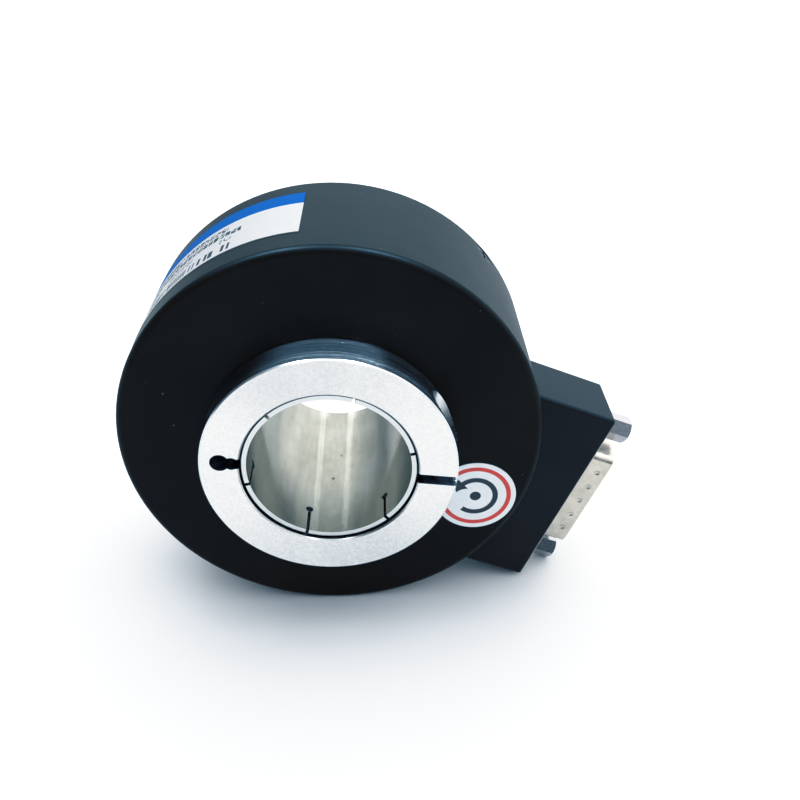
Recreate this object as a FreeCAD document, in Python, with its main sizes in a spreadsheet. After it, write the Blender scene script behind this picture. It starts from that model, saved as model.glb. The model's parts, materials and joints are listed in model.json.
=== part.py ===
import FreeCAD, Part
import math
import os
import re

import Sketcher
from FreeCAD import Placement, Rotation, Vector

# Incremental rotary encoder with a through hollow shaft, a split clamp collar on its collet end
# and a fifteen-way D-sub plug in a box on its side.
#
# Frame, in millimetres: the shaft turns about the Y axis. The origin is where that axis meets the
# housing's front face, the collar is on the -Y side, +Z is up, and the encoder stands on the rim of
# its housing and on the tip of its lower jackscrew.
#
# Angles around the shaft are measured from +X towards +Z. Pieces of the connector are drawn in a
# turned copy of the frame whose +Z is the box's outward normal, +X points down the box's face and
# +Y is the shaft axis; pieces on a radius are drawn in the same way with +Z along the radius.

DIMENSIONS = {
    # Housing: a cup over a base flange that carries the bearings.
    "housing_radius": 40.0,
    "housing_depth": 32.0,
    "cover_wall": 2.0,
    "cover_front_wall": 3.0,
    "cover_edge_round": 1.4,
    "cover_hole_radius": 18.2,
    "seal_seat_radius": 20.0,
    "seal_seat_front": 0.8,
    "seal_lip_radius": 17.6,
    "base_front": 25.0,
    "base_rear": 32.5,
    "base_lip_radius": 21.8,
    "tube_radius": 27.0,
    "tube_front": 11.0,
    "edge_break": 0.4,
    # Hollow shaft and the collet slits in its front end.
    "bore_radius": 15.0,
    "sleeve_radius": 16.0,
    "sleeve_front": -7.4,
    "shaft_radius": 17.5,
    "shaft_rear": 34.0,
    "slit_count": 6.0,
    "slit_angle": 10.6,
    "slit_width": 0.6,
    "slit_end": -1.4,
    "slit_hole_radius": 0.75,
    # Clamp collar.
    "collar_front": -8.1,
    "collar_rear": -0.5,
    "collar_radius": 23.45,
    "collar_bore_radius": 16.25,
    "collar_edge": 0.25,
    "split_angle": -7.8,
    "split_width": 2.0,
    "hinge_distance": 19.7,
    "hinge_radius": 1.75,
    "hinge_slot_width": 2.1,
    "hinge_lobe_distance": 17.6,
    "hinge_lobe_radius": 1.3,
    # Clamp screw, M3 socket head, square across the split.
    "clamp_distance": 20.0,
    "clamp_seat": 5.0,
    "clamp_thread_radius": 1.5,
    "clamp_clearance_radius": 1.65,
    "clamp_head_radius": 2.75,
    "clamp_head_length": 3.0,
    "clamp_length": 12.0,
    "clamp_pocket_radius": 3.1,
    "clamp_socket_flats": 2.5,
    "clamp_socket_depth": 1.6,
    # Thin-section ball bearings, 35 x 47 x 7.
    "bearing_width": 7.0,
    "bearing_radius": 23.5,
    "front_bearing": 13.0,
    "rear_bearing": 23.5,
    "inner_shoulder_radius": 19.6,
    "outer_shoulder_radius": 21.4,
    "pitch_radius": 20.5,
    "ball_radius": 1.8,
    "ball_count": 18.0,
    "race_gap": 0.05,
    "cage_inner_radius": 19.8,
    "cage_outer_radius": 21.2,
    "cage_half_width": 2.3,
    "shield_inner_radius": 19.9,
    "shield_thickness": 0.3,
    "ring_edge": 0.3,
    # Spacers, spring washer and retaining rings beside the bearings.
    "inner_spacer_radius": 19.2,
    "outer_spacer_radius": 22.3,
    "washer_thickness": 0.3,
    "washer_height": 0.6,
    "circlip_thickness": 1.2,
    "circlip_gap": 9.0,
    "circlip_lug_radius": 1.7,
    "circlip_eye_radius": 0.75,
    "bore_circlip_inner": 21.6,
    "bore_circlip_outer": 24.3,
    "shaft_circlip_inner": 16.5,
    "shaft_circlip_outer": 19.2,
    # Code disc and its hub.
    "hub_front": 5.2,
    "hub_spigot_radius": 21.0,
    "hub_flange_radius": 26.0,
    "hub_flange_rear": 10.5,
    "disc_front": 6.8,
    "disc_rear": 7.8,
    "disc_radius": 33.0,
    "clamp_ring_front": 5.0,
    "clamp_ring_radius": 25.8,
    "disc_screw_radius": 23.4,
    "disc_screw_length": 5.0,
    # Optical head, on a bracket that straddles the rim of the disc.
    "head_angle": 126.0,
    "head_half_width": 6.0,
    "head_front": 3.4,
    "head_arm_inner": 27.8,
    "head_spine_inner": 34.2,
    "head_spine_outer": 37.0,
    "front_arm_rear": 6.0,
    "rear_arm_front": 8.8,
    "rear_arm_rear": 11.6,
    "foot_front": 22.6,
    "foot_half_width": 10.5,
    "foot_inner": 30.5,
    "foot_outer": 36.0,
    "foot_screw_offset": 8.4,
    "foot_screw_radius": 33.3,
    "track_radius": 30.2,
    "led_radius": 1.5,
    "led_tip": 6.1,
    "reticle_front": 8.4,
    "reticle_half_width": 4.0,
    "sensor_half_width": 2.4,
    "sensor_depth": 1.1,
    # Main circuit board on three pillars of the base.
    "board_front": 20.0,
    "board_rear": 21.6,
    "board_inner": 27.6,
    "board_outer": 37.4,
    "board_notch_half_width": 11.2,
    "pillar_radius": 3.2,
    "pillar_distance": 33.0,
    "chip_inner": 30.0,
    "chip_length": 5.0,
    "chip_half_width": 2.6,
    "chip_height": 1.7,
    "capacitor_radius": 2.3,
    "capacitor_height": 5.4,
    # Small screws: thread radius, head radius and head height of M2 and M2.5.
    "small_thread": 1.0,
    "small_head_radius": 1.9,
    "small_head_height": 1.3,
    "medium_thread": 1.25,
    "medium_head_radius": 2.3,
    "medium_head_height": 1.6,
    "recess_width": 0.6,
    "cover_screw_angle": 38.9,
    "cover_screw_depth": 29.1,
    "cover_screw_top": 39.85,
    "cover_screw_head_radius": 2.35,
    "cover_screw_head_depth": 1.2,
    "cover_screw_length": 8.0,
    # Holes in the base that the encoder is fixed by.
    "fixing_radius": 33.0,
    "fixing_hole_radius": 2.0,
    "fixing_depth": 5.0,
    # Connector box.
    "box_angle": -22.84,
    "box_front": 4.8,
    "box_rear": 19.2,
    "box_half_length": 21.4,
    "box_face": 50.7,
    "box_root": 30.0,
    "box_side_wall": 1.6,
    "box_end_wall": 2.0,
    "box_face_wall": 2.5,
    "box_ridge_round": 0.8,
    "box_face_round": 0.5,
    "lug_inner": 14.5,
    "lug_outer": 19.2,
    "lug_half_width": 3.5,
    "lug_top": 46.0,
    "box_screw_swing": 24.0,
    "box_screw_seat": 37.9,
    "box_screw_length": 7.4,
    "window_half_length": 7.0,
    "window_half_width": 2.6,
    # Fifteen-way D-sub plug. Its flange sits on the floor of a recess in the box's face.
    "plug_seat": 50.0,
    "recess_play": 0.1,
    "connector_axis": 11.8,
    "flange_half_length": 19.6,
    "flange_half_width": 6.25,
    "flange_thickness": 0.5,
    "flange_corner": 2.2,
    "shell_mid_half": 12.45,
    "shell_half_height": 4.65,
    "shell_slant": 10.0,
    "shell_corner": 2.0,
    "shell_wall": 0.45,
    "shell_length": 5.5,
    "shell_lip": 0.2,
    "rear_shell_length": 4.0,
    "insulator_face": 0.6,
    "contact_pitch": 2.77,
    "contact_row": 1.42,
    "contact_radius": 0.5,
    "contact_length": 4.7,
    "contact_tail": 8.8,
    "dimple_pitch": 3.85,
    "dimple_radius": 0.9,
    "dimple_depth": 0.25,
    "dimple_height": 3.4,
    "jack_half_pitch": 16.66,
    "jack_flats": 4.8,
    "jack_height": 6.3,
    "jack_thread_radius": 1.42,
    "jack_clearance_radius": 1.6,
    "jack_hole_depth": 3.6,
    "jack_stud_length": 5.4,
    "jack_chamfer": 0.35,
    # Adapter board behind the plug, and the ribbon cable to the main board.
    "adapter_inner": 41.5,
    "adapter_thickness": 1.0,
    "adapter_half_length": 14.0,
    "adapter_half_width": 3.8,
    "header_half_length": 6.0,
    "header_half_width": 2.0,
    "adapter_header_inner": 38.6,
    "board_header_front": 17.0,
    "ribbon_half_width": 5.0,
    "ribbon_thickness": 0.9,
    "ribbon_radius": 32.0,
    "ribbon_bend": 2.5,
    # Printed labels.
    "label_thickness": 0.12,
    "label_front": 7.2,
    "label_rear": 26.5,
    "label_start": 94.9,
    "label_sweep": 108.0,
    "sticker_radius": 8.0,
    "sticker_distance": 30.5,
    "sticker_angle": -25.5,
}

DIMENSION_WORDS = re.compile(r"\b(" + "|".join(DIMENSIONS) + r")\b")
BODY_AXIS = Vector(0, 1, 0)
FULL_TURN = 360.0
ROUGH_OUTLINE_SIZE = 10.0

doc = FreeCAD.newDocument("rotary_encoder")
sub_parts = []


def fill_sheet():
    """Put the driving dimensions in the spreadsheet, one row each, with the name as the alias."""
    sheet = doc.addObject("Spreadsheet::Sheet", "dims")
    for row, (name, number) in enumerate(DIMENSIONS.items(), start=1):
        sheet.set("A%d" % row, name)
        sheet.set("B%d" % row, str(number))
        sheet.setAlias("B%d" % row, name)
    doc.recompute()


def ref(text):
    """Turn an expression written with dimension names into one that reads the spreadsheet."""
    return DIMENSION_WORDS.sub(r"dims.\1", text)


def bind(item, bindings):
    for prop, text in bindings.items():
        item.setExpression(prop, ref(text))
    return item


def sub_part(item, label):
    """Name a finished piece. Its label is the name of its node and of its file."""
    item.Label = label
    sub_parts.append(item)
    return item


# ---------------------------------------------------------------- placing

def swing(angle):
    """Placement that turns local +Z to the radius at this angle, and keeps +Y along the shaft."""
    return Placement(Vector(0, 0, 0), Rotation(BODY_AXIS, 90.0 - angle))


def gathered(name, items):
    gather = doc.addObject("Part::Compound", name)
    gather.Links = items
    return gather


def on_radius(name, item, angle):
    """The same item, drawn with +Z along a radius, put at an angle round the shaft."""
    turned_item = gathered(name, [item])
    turned_item.Placement = swing(angle)
    return turned_item


def spread(start, count):
    """Angles of equally spaced places round the shaft."""
    return [start + FULL_TURN * step / count for step in range(int(count))]


# ---------------------------------------------------------------- primitives and booleans

def block(name, low, high):
    """Box between two corners, each coordinate an expression."""
    item = doc.addObject("Part::Box", name)
    for prop, axis, start, end in zip(("Length", "Width", "Height"), "xyz", low, high):
        bind(item, {prop: "(%s) - (%s)" % (end, start), "Placement.Base." + axis: start})
    return item


def centred_block(name, half_x, low, high):
    """Box that is symmetrical in X; low and high give its Y and Z."""
    return block(name, ("-(%s)" % half_x,) + low, (half_x,) + high)


AXIS_TURNS = {
    "X": Rotation(Vector(0, 1, 0), 90),
    "Y": Rotation(Vector(1, 0, 0), -90),
    "Z": Rotation(),
}


def rod(name, radius, start, length, axis):
    """Cylinder along an axis from a start point."""
    item = doc.addObject("Part::Cylinder", name)
    item.Placement = Placement(Vector(0, 0, 0), AXIS_TURNS[axis])
    bind(item, {"Radius": radius, "Height": length})
    return bind(item, {"Placement.Base." + key: text for key, text in zip("xyz", start)})


def ball(name, radius, centre):
    item = doc.addObject("Part::Sphere", name)
    bind(item, {"Radius": radius})
    return bind(item, {"Placement.Base." + key: text for key, text in zip("xyz", centre)})


def joined(name, items):
    fuse = doc.addObject("Part::MultiFuse", name)
    fuse.Shapes = items
    fuse.Refine = True
    return fuse


def cut(name, base, tools):
    item = doc.addObject("Part::Cut", name)
    item.Base = base
    item.Tool = tools[0] if len(tools) == 1 else joined(name + "_tools", tools)
    return item


def rounded(name, base, radius, wanted):
    """Round the edges of a solid that pass the test."""
    doc.recompute()
    item = doc.addObject("Part::Fillet", name)
    item.Base = base
    item.Edges = [(index, radius, radius)
                  for index, edge in enumerate(base.Shape.Edges, start=1) if wanted(edge)]
    return item


# ---------------------------------------------------------------- sketched bodies

def origin_plane(body, role):
    return next(item for item in body.Origin.OriginFeatures if item.Role == role)


def attached_sketch(body, name, role):
    sketch = body.newObject("Sketcher::SketchObject", name)
    sketch.AttachmentSupport = [(origin_plane(body, role), "")]
    sketch.MapMode = "FlatFace"
    return sketch


def locate(sketch, geometry, point, place, rough):
    """Tie a point of the sketch to the origin with two driven distances."""
    for kind, text, number in zip(("DistanceX", "DistanceY"), place, rough):
        index = sketch.addConstraint(
            Sketcher.Constraint(kind, -1, 1, geometry, point, number))
        bind(sketch, {"Constraints[%d]" % index: text})


def outline(body, name, role, corners):
    """Closed polygon whose corners are expressions; the solver moves it from a rough circle."""
    sketch = attached_sketch(body, name, role)
    count = len(corners)
    rough = [Vector(ROUGH_OUTLINE_SIZE * (2 + math.cos(2 * math.pi * step / count)),
                    ROUGH_OUTLINE_SIZE * math.sin(2 * math.pi * step / count), 0)
             for step in range(count)]
    sketch.addGeometry([Part.LineSegment(rough[step], rough[(step + 1) % count])
                        for step in range(count)], False)
    sketch.addConstraint([Sketcher.Constraint("Coincident", step, 2, (step + 1) % count, 1)
                          for step in range(count)])
    for step, corner in enumerate(corners):
        locate(sketch, step, 1, corner, (rough[step].x, rough[step].y))
    return sketch


def revolved(name, corners, role="XY_Plane"):
    """Body turned about the sketch's vertical: the shaft axis on XY, a piece's own Z on XZ."""
    body = doc.addObject("PartDesign::Body", name)
    sketch = outline(body, name + "_profile", role, corners)
    turn = body.newObject("PartDesign::Revolution", name + "_turned")
    turn.Profile = sketch
    turn.ReferenceAxis = (sketch, ["V_Axis"])
    turn.Angle = FULL_TURN
    return body


def ring(name, inner, outer, front, rear):
    """Plain ring about the shaft axis."""
    return revolved(name, [(inner, front), (outer, front), (outer, rear), (inner, rear)])


def eased_ring(name, inner, outer, front, rear, ease, eased="inner outer"):
    """Ring about the shaft axis with a chamfer on the edges of one or both of its walls."""
    corners = []
    if "inner" in eased:
        corners += [(inner, front + " + " + ease), (inner + " + " + ease, front)]
    else:
        corners += [(inner, front)]
    if "outer" in eased:
        corners += [(outer + " - " + ease, front), (outer, front + " + " + ease),
                    (outer, rear + " - " + ease), (outer + " - " + ease, rear)]
    else:
        corners += [(outer, front), (outer, rear)]
    if "inner" in eased:
        corners += [(inner + " + " + ease, rear), (inner, rear + " - " + ease)]
    else:
        corners += [(inner, rear)]
    return revolved(name, corners)


def add_race(body, middle):
    """Turn the ball groove into a bearing ring."""
    sketch = attached_sketch(body, body.Name + "_race_profile", "XY_Plane")
    sketch.addGeometry(Part.Circle(Vector(20, 10, 0), Vector(0, 0, 1), 1), False)
    size = sketch.addConstraint(Sketcher.Constraint("Radius", 0, 1.0))
    bind(sketch, {"Constraints[%d]" % size: "ball_radius + race_gap"})
    locate(sketch, 0, 3, ("pitch_radius", middle), (20, 10))
    groove = body.newObject("PartDesign::Groove", body.Name + "_race")
    groove.Profile = sketch
    groove.ReferenceAxis = (sketch, ["V_Axis"])
    groove.Angle = FULL_TURN


def padded(name, corners, low, high):
    """Body raised from an outline on its own XY plane, between two heights."""
    body = doc.addObject("PartDesign::Body", name)
    sketch = outline(body, name + "_outline", "XY_Plane", corners)
    bind(sketch, {"AttachmentOffset.Base.z": low})
    pad = body.newObject("PartDesign::Pad", name + "_pad")
    pad.Profile = sketch
    bind(pad, {"Length": "(%s) - (%s)" % (high, low)})
    return body


def is_upright(edge):
    """True for a straight edge along local Z."""
    if edge.Curve.TypeId != "Part::GeomLine":
        return False
    return abs(edge.Curve.Direction.z) > 0.999


def d_block(name, inset, low, high, corner):
    """Solid with the D-sub's outline, wide side to the rear, drawn in by inset all round."""
    half_height = "(shell_half_height - (%s))" % inset
    middle = "(shell_mid_half - (%s) / cos(shell_slant))" % inset
    lean = "%s * tan(shell_slant)" % half_height
    narrow = "(%s - %s)" % (middle, lean)
    wide = "(%s + %s)" % (middle, lean)
    front = "connector_axis - " + half_height
    rear = "connector_axis + " + half_height
    corners = [("-" + narrow, front), (narrow, front), (wide, rear), ("-" + wide, rear)]
    plain = padded(name, corners, low, high)
    return rounded(name + "_rounded", plain, corner, is_upright)


# ---------------------------------------------------------------- screws

def cross_recess(name, top, reach, depth):
    """Two crossed slots in the top of a screw's head."""
    bars = []
    for bar, (half_x, half_y) in enumerate(((reach, "recess_width / 2"),
                                            ("recess_width / 2", reach))):
        low = ("-(%s)" % half_x, "-(%s)" % half_y, "%s - %s" % (top, depth))
        high = (half_x, half_y, "%s + 1" % top)
        bars.append(block("%s_bar_%d" % (name, bar), low, high))
    return bars


def pan_screw(name, size, length):
    """Pan-head screw along its own Z: the head stands on Z = 0 and the thread runs down."""
    thread, head, height = size + "_thread", size + "_head_radius", size + "_head_height"
    blank = revolved(name + "_blank", [
        ("0", "-(%s)" % length),
        (thread + " * 0.7", "-(%s)" % length),
        (thread, "-(%s) + %s * 0.5" % (length, thread)),
        (thread, "0"),
        (head, "0"),
        (head, height + " * 0.55"),
        (head + " * 0.6", height),
        ("0", height)], "XZ_Plane")
    return cut(name, blank, cross_recess(name, height, head + " * 0.55", height + " * 0.6"))


def countersunk_screw(name):
    """Countersunk cover screw along its own Z, with the top of its head at Z = 0."""
    tip = "-cover_screw_length"
    blank = revolved(name + "_blank", [
        ("0", tip),
        ("medium_thread * 0.7", tip),
        ("medium_thread", tip + " + medium_thread * 0.5"),
        ("medium_thread", "-cover_screw_head_depth"),
        ("cover_screw_head_radius", "0"),
        ("0", "0")], "XZ_Plane")
    return cut(name, blank, cross_recess(name, "0", "cover_screw_head_radius * 0.6", "0.8"))


def countersink(name):
    """Hole through the cup's wall for a cover screw, drawn with the screw's own origin."""
    return revolved(name, [
        ("0", "-cover_wall * 2"),
        ("medium_thread", "-cover_wall * 2"),
        ("medium_thread", "-cover_screw_head_depth"),
        ("cover_screw_head_radius", "0"),
        ("cover_screw_head_radius", "1"),
        ("0", "1")], "XZ_Plane")


def along_radius(item, angle, radius, depth):
    """Stand an item on a radius: its Z along the radius at this angle, at this Y."""
    turn = Rotation(BODY_AXIS, 90.0 - angle)
    item.Placement = Placement(turn.multVec(Vector(0, depth, radius)), turn)
    return item


def facing_front(item, angle, radius, depth):
    """Put an item with its own Z pointing to -Y, at a place round the shaft."""
    turn = Rotation(BODY_AXIS, 90.0 - angle)
    place = turn.multVec(Vector(0, depth, radius))
    item.Placement = Placement(place, turn.multiply(Rotation(Vector(1, 0, 0), 90)))
    return item


# ---------------------------------------------------------------- housing

def cover_screw_angles():
    return spread(DIMENSIONS["cover_screw_angle"], 3)


def box_screw_angles():
    middle, aside = DIMENSIONS["box_angle"], DIMENSIONS["box_screw_swing"]
    return [middle - aside, middle + aside]


def make_housing_cover():
    blank = revolved("cover_blank", [
        ("cover_hole_radius", "0"),
        ("housing_radius", "0"),
        ("housing_radius", "housing_depth - edge_break"),
        ("housing_radius - edge_break", "housing_depth"),
        ("housing_radius - cover_wall", "housing_depth"),
        ("housing_radius - cover_wall", "cover_front_wall"),
        ("seal_seat_radius", "cover_front_wall"),
        ("seal_seat_radius", "seal_seat_front"),
        ("cover_hole_radius", "seal_seat_front")])
    rim_radius = DIMENSIONS["housing_radius"]
    smooth = rounded("cover_rounded", blank, DIMENSIONS["cover_edge_round"],
                     lambda edge: edge.Closed and edge.BoundBox.YMax < 0.01
                     and edge.BoundBox.XMax > rim_radius - 0.01)
    tools = []
    for count, angle in enumerate(cover_screw_angles()):
        tools.append(along_radius(countersink("cover_countersink_%d" % count), angle,
                                  DIMENSIONS["cover_screw_top"], DIMENSIONS["cover_screw_depth"]))
    for count, angle in enumerate(box_screw_angles()):
        hole = rod("cover_box_screw_hole_%d" % count, "medium_thread",
                   ("0", "connector_axis", "housing_radius - cover_wall - 1"),
                   "cover_wall + 2", "Z")
        tools.append(on_radius("cover_box_screw_hole_turned_%d" % count, hole, angle))
    window = centred_block("cover_window", "window_half_length",
                           ("connector_axis - window_half_width", "housing_radius - 5"),
                           ("connector_axis + window_half_width", "housing_radius + 1"))
    tools.append(on_radius("cover_window_turned", window, DIMENSIONS["box_angle"]))
    sub_part(cut("cover", smooth, tools), "housing_cover")


def make_base_flange():
    blank = revolved("base_blank", [
        ("bearing_radius", "tube_front"),
        ("tube_radius - edge_break", "tube_front"),
        ("tube_radius", "tube_front + edge_break"),
        ("tube_radius", "base_front"),
        ("housing_radius - cover_wall", "base_front"),
        ("housing_radius - cover_wall", "base_rear - edge_break"),
        ("housing_radius - cover_wall - edge_break", "base_rear"),
        ("base_lip_radius + edge_break", "base_rear"),
        ("base_lip_radius", "base_rear - edge_break"),
        ("base_lip_radius", "rear_bearing + bearing_width"),
        ("bearing_radius", "rear_bearing + bearing_width")])
    pillars = []
    tools = [ring("circlip_groove", "bearing_radius - 1", "bore_circlip_outer",
                  "front_bearing - circlip_thickness", "front_bearing")]
    for count, angle in enumerate(cover_screw_angles()):
        pillar = rod("pillar_%d" % count, "pillar_radius", ("0", "board_rear", "pillar_distance"),
                     "base_front - board_rear + 1", "Y")
        pillars.append(on_radius("pillar_turned_%d" % count, pillar, angle))
        tapped = rod("board_screw_hole_%d" % count, "medium_thread",
                     ("0", "board_rear - 1", "pillar_distance"), "6", "Y")
        tools.append(on_radius("board_screw_hole_turned_%d" % count, tapped, angle))
        side = rod("cover_screw_hole_%d" % count, "medium_thread",
                   ("0", "cover_screw_depth", "cover_screw_top - cover_screw_length"),
                   "cover_screw_length", "Z")
        tools.append(on_radius("cover_screw_hole_turned_%d" % count, side, angle))
    for count, angle in enumerate(fixing_angles()):
        fixing = rod("fixing_hole_%d" % count, "fixing_hole_radius",
                     ("0", "base_rear - fixing_depth", "fixing_radius"), "fixing_depth + 1", "Y")
        tools.append(on_radius("fixing_hole_turned_%d" % count, fixing, angle))
    for count, side in enumerate(("-foot_screw_offset", "foot_screw_offset")):
        tapped = rod("foot_screw_hole_%d" % count, "small_thread",
                     (side, "base_front - 1", "foot_screw_radius"), "4.6", "Y")
        tools.append(on_radius("foot_screw_hole_turned_%d" % count, tapped,
                               DIMENSIONS["head_angle"]))
    sub_part(cut("base", joined("base_with_pillars", [blank] + pillars), tools), "base_flange")


def fixing_angles():
    """Tapped holes for the machine's side, clear of the cover screws."""
    return spread(DIMENSIONS["cover_screw_angle"] + 45.0, 4)


def make_cover_screws():
    screws = [along_radius(countersunk_screw("cover_screw_%d" % count), angle,
                           DIMENSIONS["cover_screw_top"], DIMENSIONS["cover_screw_depth"])
              for count, angle in enumerate(cover_screw_angles())]
    sub_part(gathered("cover_screw_group", screws), "cover_screws")


def make_shaft_seal():
    sub_part(revolved("seal", [
        ("seal_lip_radius", "seal_seat_front + 0.7"),
        ("seal_lip_radius + 0.7", "seal_seat_front"),
        ("seal_seat_radius", "seal_seat_front"),
        ("seal_seat_radius", "cover_front_wall"),
        ("seal_lip_radius + 1", "cover_front_wall"),
        ("seal_lip_radius + 0.6", "seal_seat_front + 1.1")]), "shaft_seal")


# ---------------------------------------------------------------- shaft and collar

def make_hollow_shaft():
    groove_front = "rear_bearing + bearing_width"
    blank = revolved("shaft_blank", [
        ("bore_radius", "sleeve_front"),
        ("sleeve_radius - 0.15", "sleeve_front"),
        ("sleeve_radius", "sleeve_front + 0.15"),
        ("sleeve_radius", "collar_rear"),
        ("shaft_radius - edge_break", "collar_rear"),
        ("shaft_radius", "collar_rear + edge_break"),
        ("shaft_radius", groove_front),
        ("shaft_circlip_inner", groove_front),
        ("shaft_circlip_inner", groove_front + " + circlip_thickness"),
        ("shaft_radius", groove_front + " + circlip_thickness"),
        ("shaft_radius", "shaft_rear - edge_break"),
        ("shaft_radius - edge_break", "shaft_rear"),
        ("bore_radius + edge_break", "shaft_rear"),
        ("bore_radius", "shaft_rear - edge_break")])
    tools = []
    for count, angle in enumerate(spread(DIMENSIONS["slit_angle"], DIMENSIONS["slit_count"])):
        slit = centred_block("slit_%d" % count, "slit_width / 2",
                             ("sleeve_front - 1", "bore_radius - 1"),
                             ("slit_end", "sleeve_radius + 0.3"))
        relief = rod("slit_relief_%d" % count, "slit_hole_radius",
                     ("0", "slit_end", "bore_radius - 1"), "sleeve_radius - bore_radius + 1.3", "Z")
        tools.append(on_radius("slit_turned_%d" % count,
                               joined("slit_with_relief_%d" % count, [slit, relief]), angle))
    sub_part(cut("shaft", blank, tools), "hollow_shaft")


def make_clamp_collar():
    """Collar with one split, a hinge hole opposite it, and the screw's holes across the split."""
    blank = eased_ring("collar_blank", "collar_bore_radius", "collar_radius",
                       "collar_front", "collar_rear", "collar_edge")
    middle = "(collar_front + collar_rear) / 2"
    span = ("collar_front - 1", "collar_rear + 1")
    # Drawn with +Z along the split, so +X points away from the side that the screw enters.
    tools = [
        centred_block("split", "split_width / 2", (span[0], "bore_radius"),
                      (span[1], "collar_radius + 1")),
        centred_block("hinge_slot", "hinge_slot_width / 2", (span[0], "-hinge_distance"),
                      (span[1], "-bore_radius")),
        rod("hinge_hole", "hinge_radius", ("0", span[0], "-hinge_distance"),
            "collar_rear - collar_front + 2", "Y"),
        rod("hinge_lobe", "hinge_lobe_radius", ("0", span[0], "-hinge_lobe_distance"),
            "collar_rear - collar_front + 2", "Y"),
        rod("screw_pocket", "clamp_pocket_radius",
            ("-clamp_seat - collar_radius", middle, "clamp_distance"), "collar_radius", "X"),
        rod("screw_clearance", "clamp_clearance_radius",
            ("-clamp_seat - 1", middle, "clamp_distance"), "clamp_seat + 1", "X"),
        rod("screw_thread_hole", "clamp_thread_radius",
            ("-1", middle, "clamp_distance"), "clamp_length - clamp_seat + 1", "X"),
    ]
    sub_part(cut("collar", blank, [on_radius("collar_tools", joined("collar_cuts", tools),
                                             DIMENSIONS["split_angle"])]), "clamp_collar")


def make_clamp_screw():
    """Socket-head screw across the collar's split."""
    head = "clamp_head_length"
    blank = revolved("clamp_screw_blank", [
        ("0", "-clamp_length"),
        ("clamp_thread_radius * 0.7", "-clamp_length"),
        ("clamp_thread_radius", "-clamp_length + 0.6"),
        ("clamp_thread_radius", "0"),
        ("clamp_head_radius", "0"),
        ("clamp_head_radius", head + " - 0.3"),
        ("clamp_head_radius - 0.3", head),
        ("0", head)], "XZ_Plane")
    socket = doc.addObject("Part::Prism", "clamp_screw_socket")
    socket.Polygon = 6
    bind(socket, {"Circumradius": "clamp_socket_flats / 2 / cos(30)",
                  "Height": "clamp_socket_depth + 1",
                  "Placement.Base.z": head + " - clamp_socket_depth"})
    screw = cut("clamp_screw_cut", blank, [socket])
    turn = Rotation(BODY_AXIS, 90.0 - DIMENSIONS["split_angle"])
    middle = (DIMENSIONS["collar_front"] + DIMENSIONS["collar_rear"]) / 2
    seat = Vector(-DIMENSIONS["clamp_seat"], middle, DIMENSIONS["clamp_distance"])
    screw.Placement = Placement(turn.multVec(seat),
                                turn.multiply(Rotation(BODY_AXIS, -90)))
    sub_part(screw, "clamp_screw")


# ---------------------------------------------------------------- bearings

def make_bearing(side):
    """One ball bearing: two rings, the balls, their cage and two shields."""
    start = side + "_bearing"
    end = start + " + bearing_width"
    middle = "(%s + bearing_width / 2)" % start
    inner = eased_ring(side + "_inner", "shaft_radius", "inner_shoulder_radius", start, end,
                       "ring_edge", "inner")
    add_race(inner, middle)
    sub_part(inner, side + "_bearing_inner_ring")
    outer = eased_ring(side + "_outer", "outer_shoulder_radius", "bearing_radius", start, end,
                       "ring_edge", "outer")
    add_race(outer, middle)
    sub_part(outer, side + "_bearing_outer_ring")

    balls = []
    pockets = []
    for step, angle in enumerate(spread(0.0, DIMENSIONS["ball_count"])):
        sphere = ball("%s_ball_%d" % (side, step), "ball_radius", ("0", middle, "pitch_radius"))
        balls.append(on_radius("%s_ball_turned_%d" % (side, step), sphere, angle))
        pocket = rod("%s_pocket_%d" % (side, step), "ball_radius + race_gap",
                     ("0", middle, "cage_inner_radius - 1"),
                     "cage_outer_radius - cage_inner_radius + 2", "Z")
        pockets.append(on_radius("%s_pocket_turned_%d" % (side, step), pocket, angle))
    sub_part(gathered(side + "_ball_group", balls), side + "_bearing_balls")
    band = ring(side + "_cage_band", "cage_inner_radius", "cage_outer_radius",
                middle + " - cage_half_width", middle + " + cage_half_width")
    sub_part(cut(side + "_cage", band, pockets), side + "_bearing_cage")

    inset, thick = "shield_thickness", "shield_thickness"
    shields = [
        ring(side + "_shield_a", "shield_inner_radius", "outer_shoulder_radius",
             "%s + %s" % (start, inset), "%s + %s + %s" % (start, inset, thick)),
        ring(side + "_shield_b", "shield_inner_radius", "outer_shoulder_radius",
             "%s - %s - %s" % (end, inset, thick), "%s - %s" % (end, inset)),
    ]
    sub_part(gathered(side + "_shield_pair", shields), side + "_bearing_shields")


def make_bearing_stack():
    """Spacers and the spring washer between the two bearings."""
    front = "front_bearing + bearing_width"
    sub_part(ring("inner_spacer_ring", "shaft_radius", "inner_spacer_radius", front,
                  "rear_bearing"), "inner_spacer")
    sub_part(ring("outer_spacer_ring", "outer_spacer_radius", "bearing_radius", front,
                  "rear_bearing - washer_height"), "outer_spacer")
    sub_part(revolved("spring_washer", [
        ("outer_spacer_radius - 0.3", "rear_bearing - washer_height"),
        ("bearing_radius - 0.1", "rear_bearing - washer_thickness"),
        ("bearing_radius - 0.1", "rear_bearing"),
        ("outer_spacer_radius - 0.3", "rear_bearing - washer_height + washer_thickness")]),
        "preload_washer")


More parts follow.
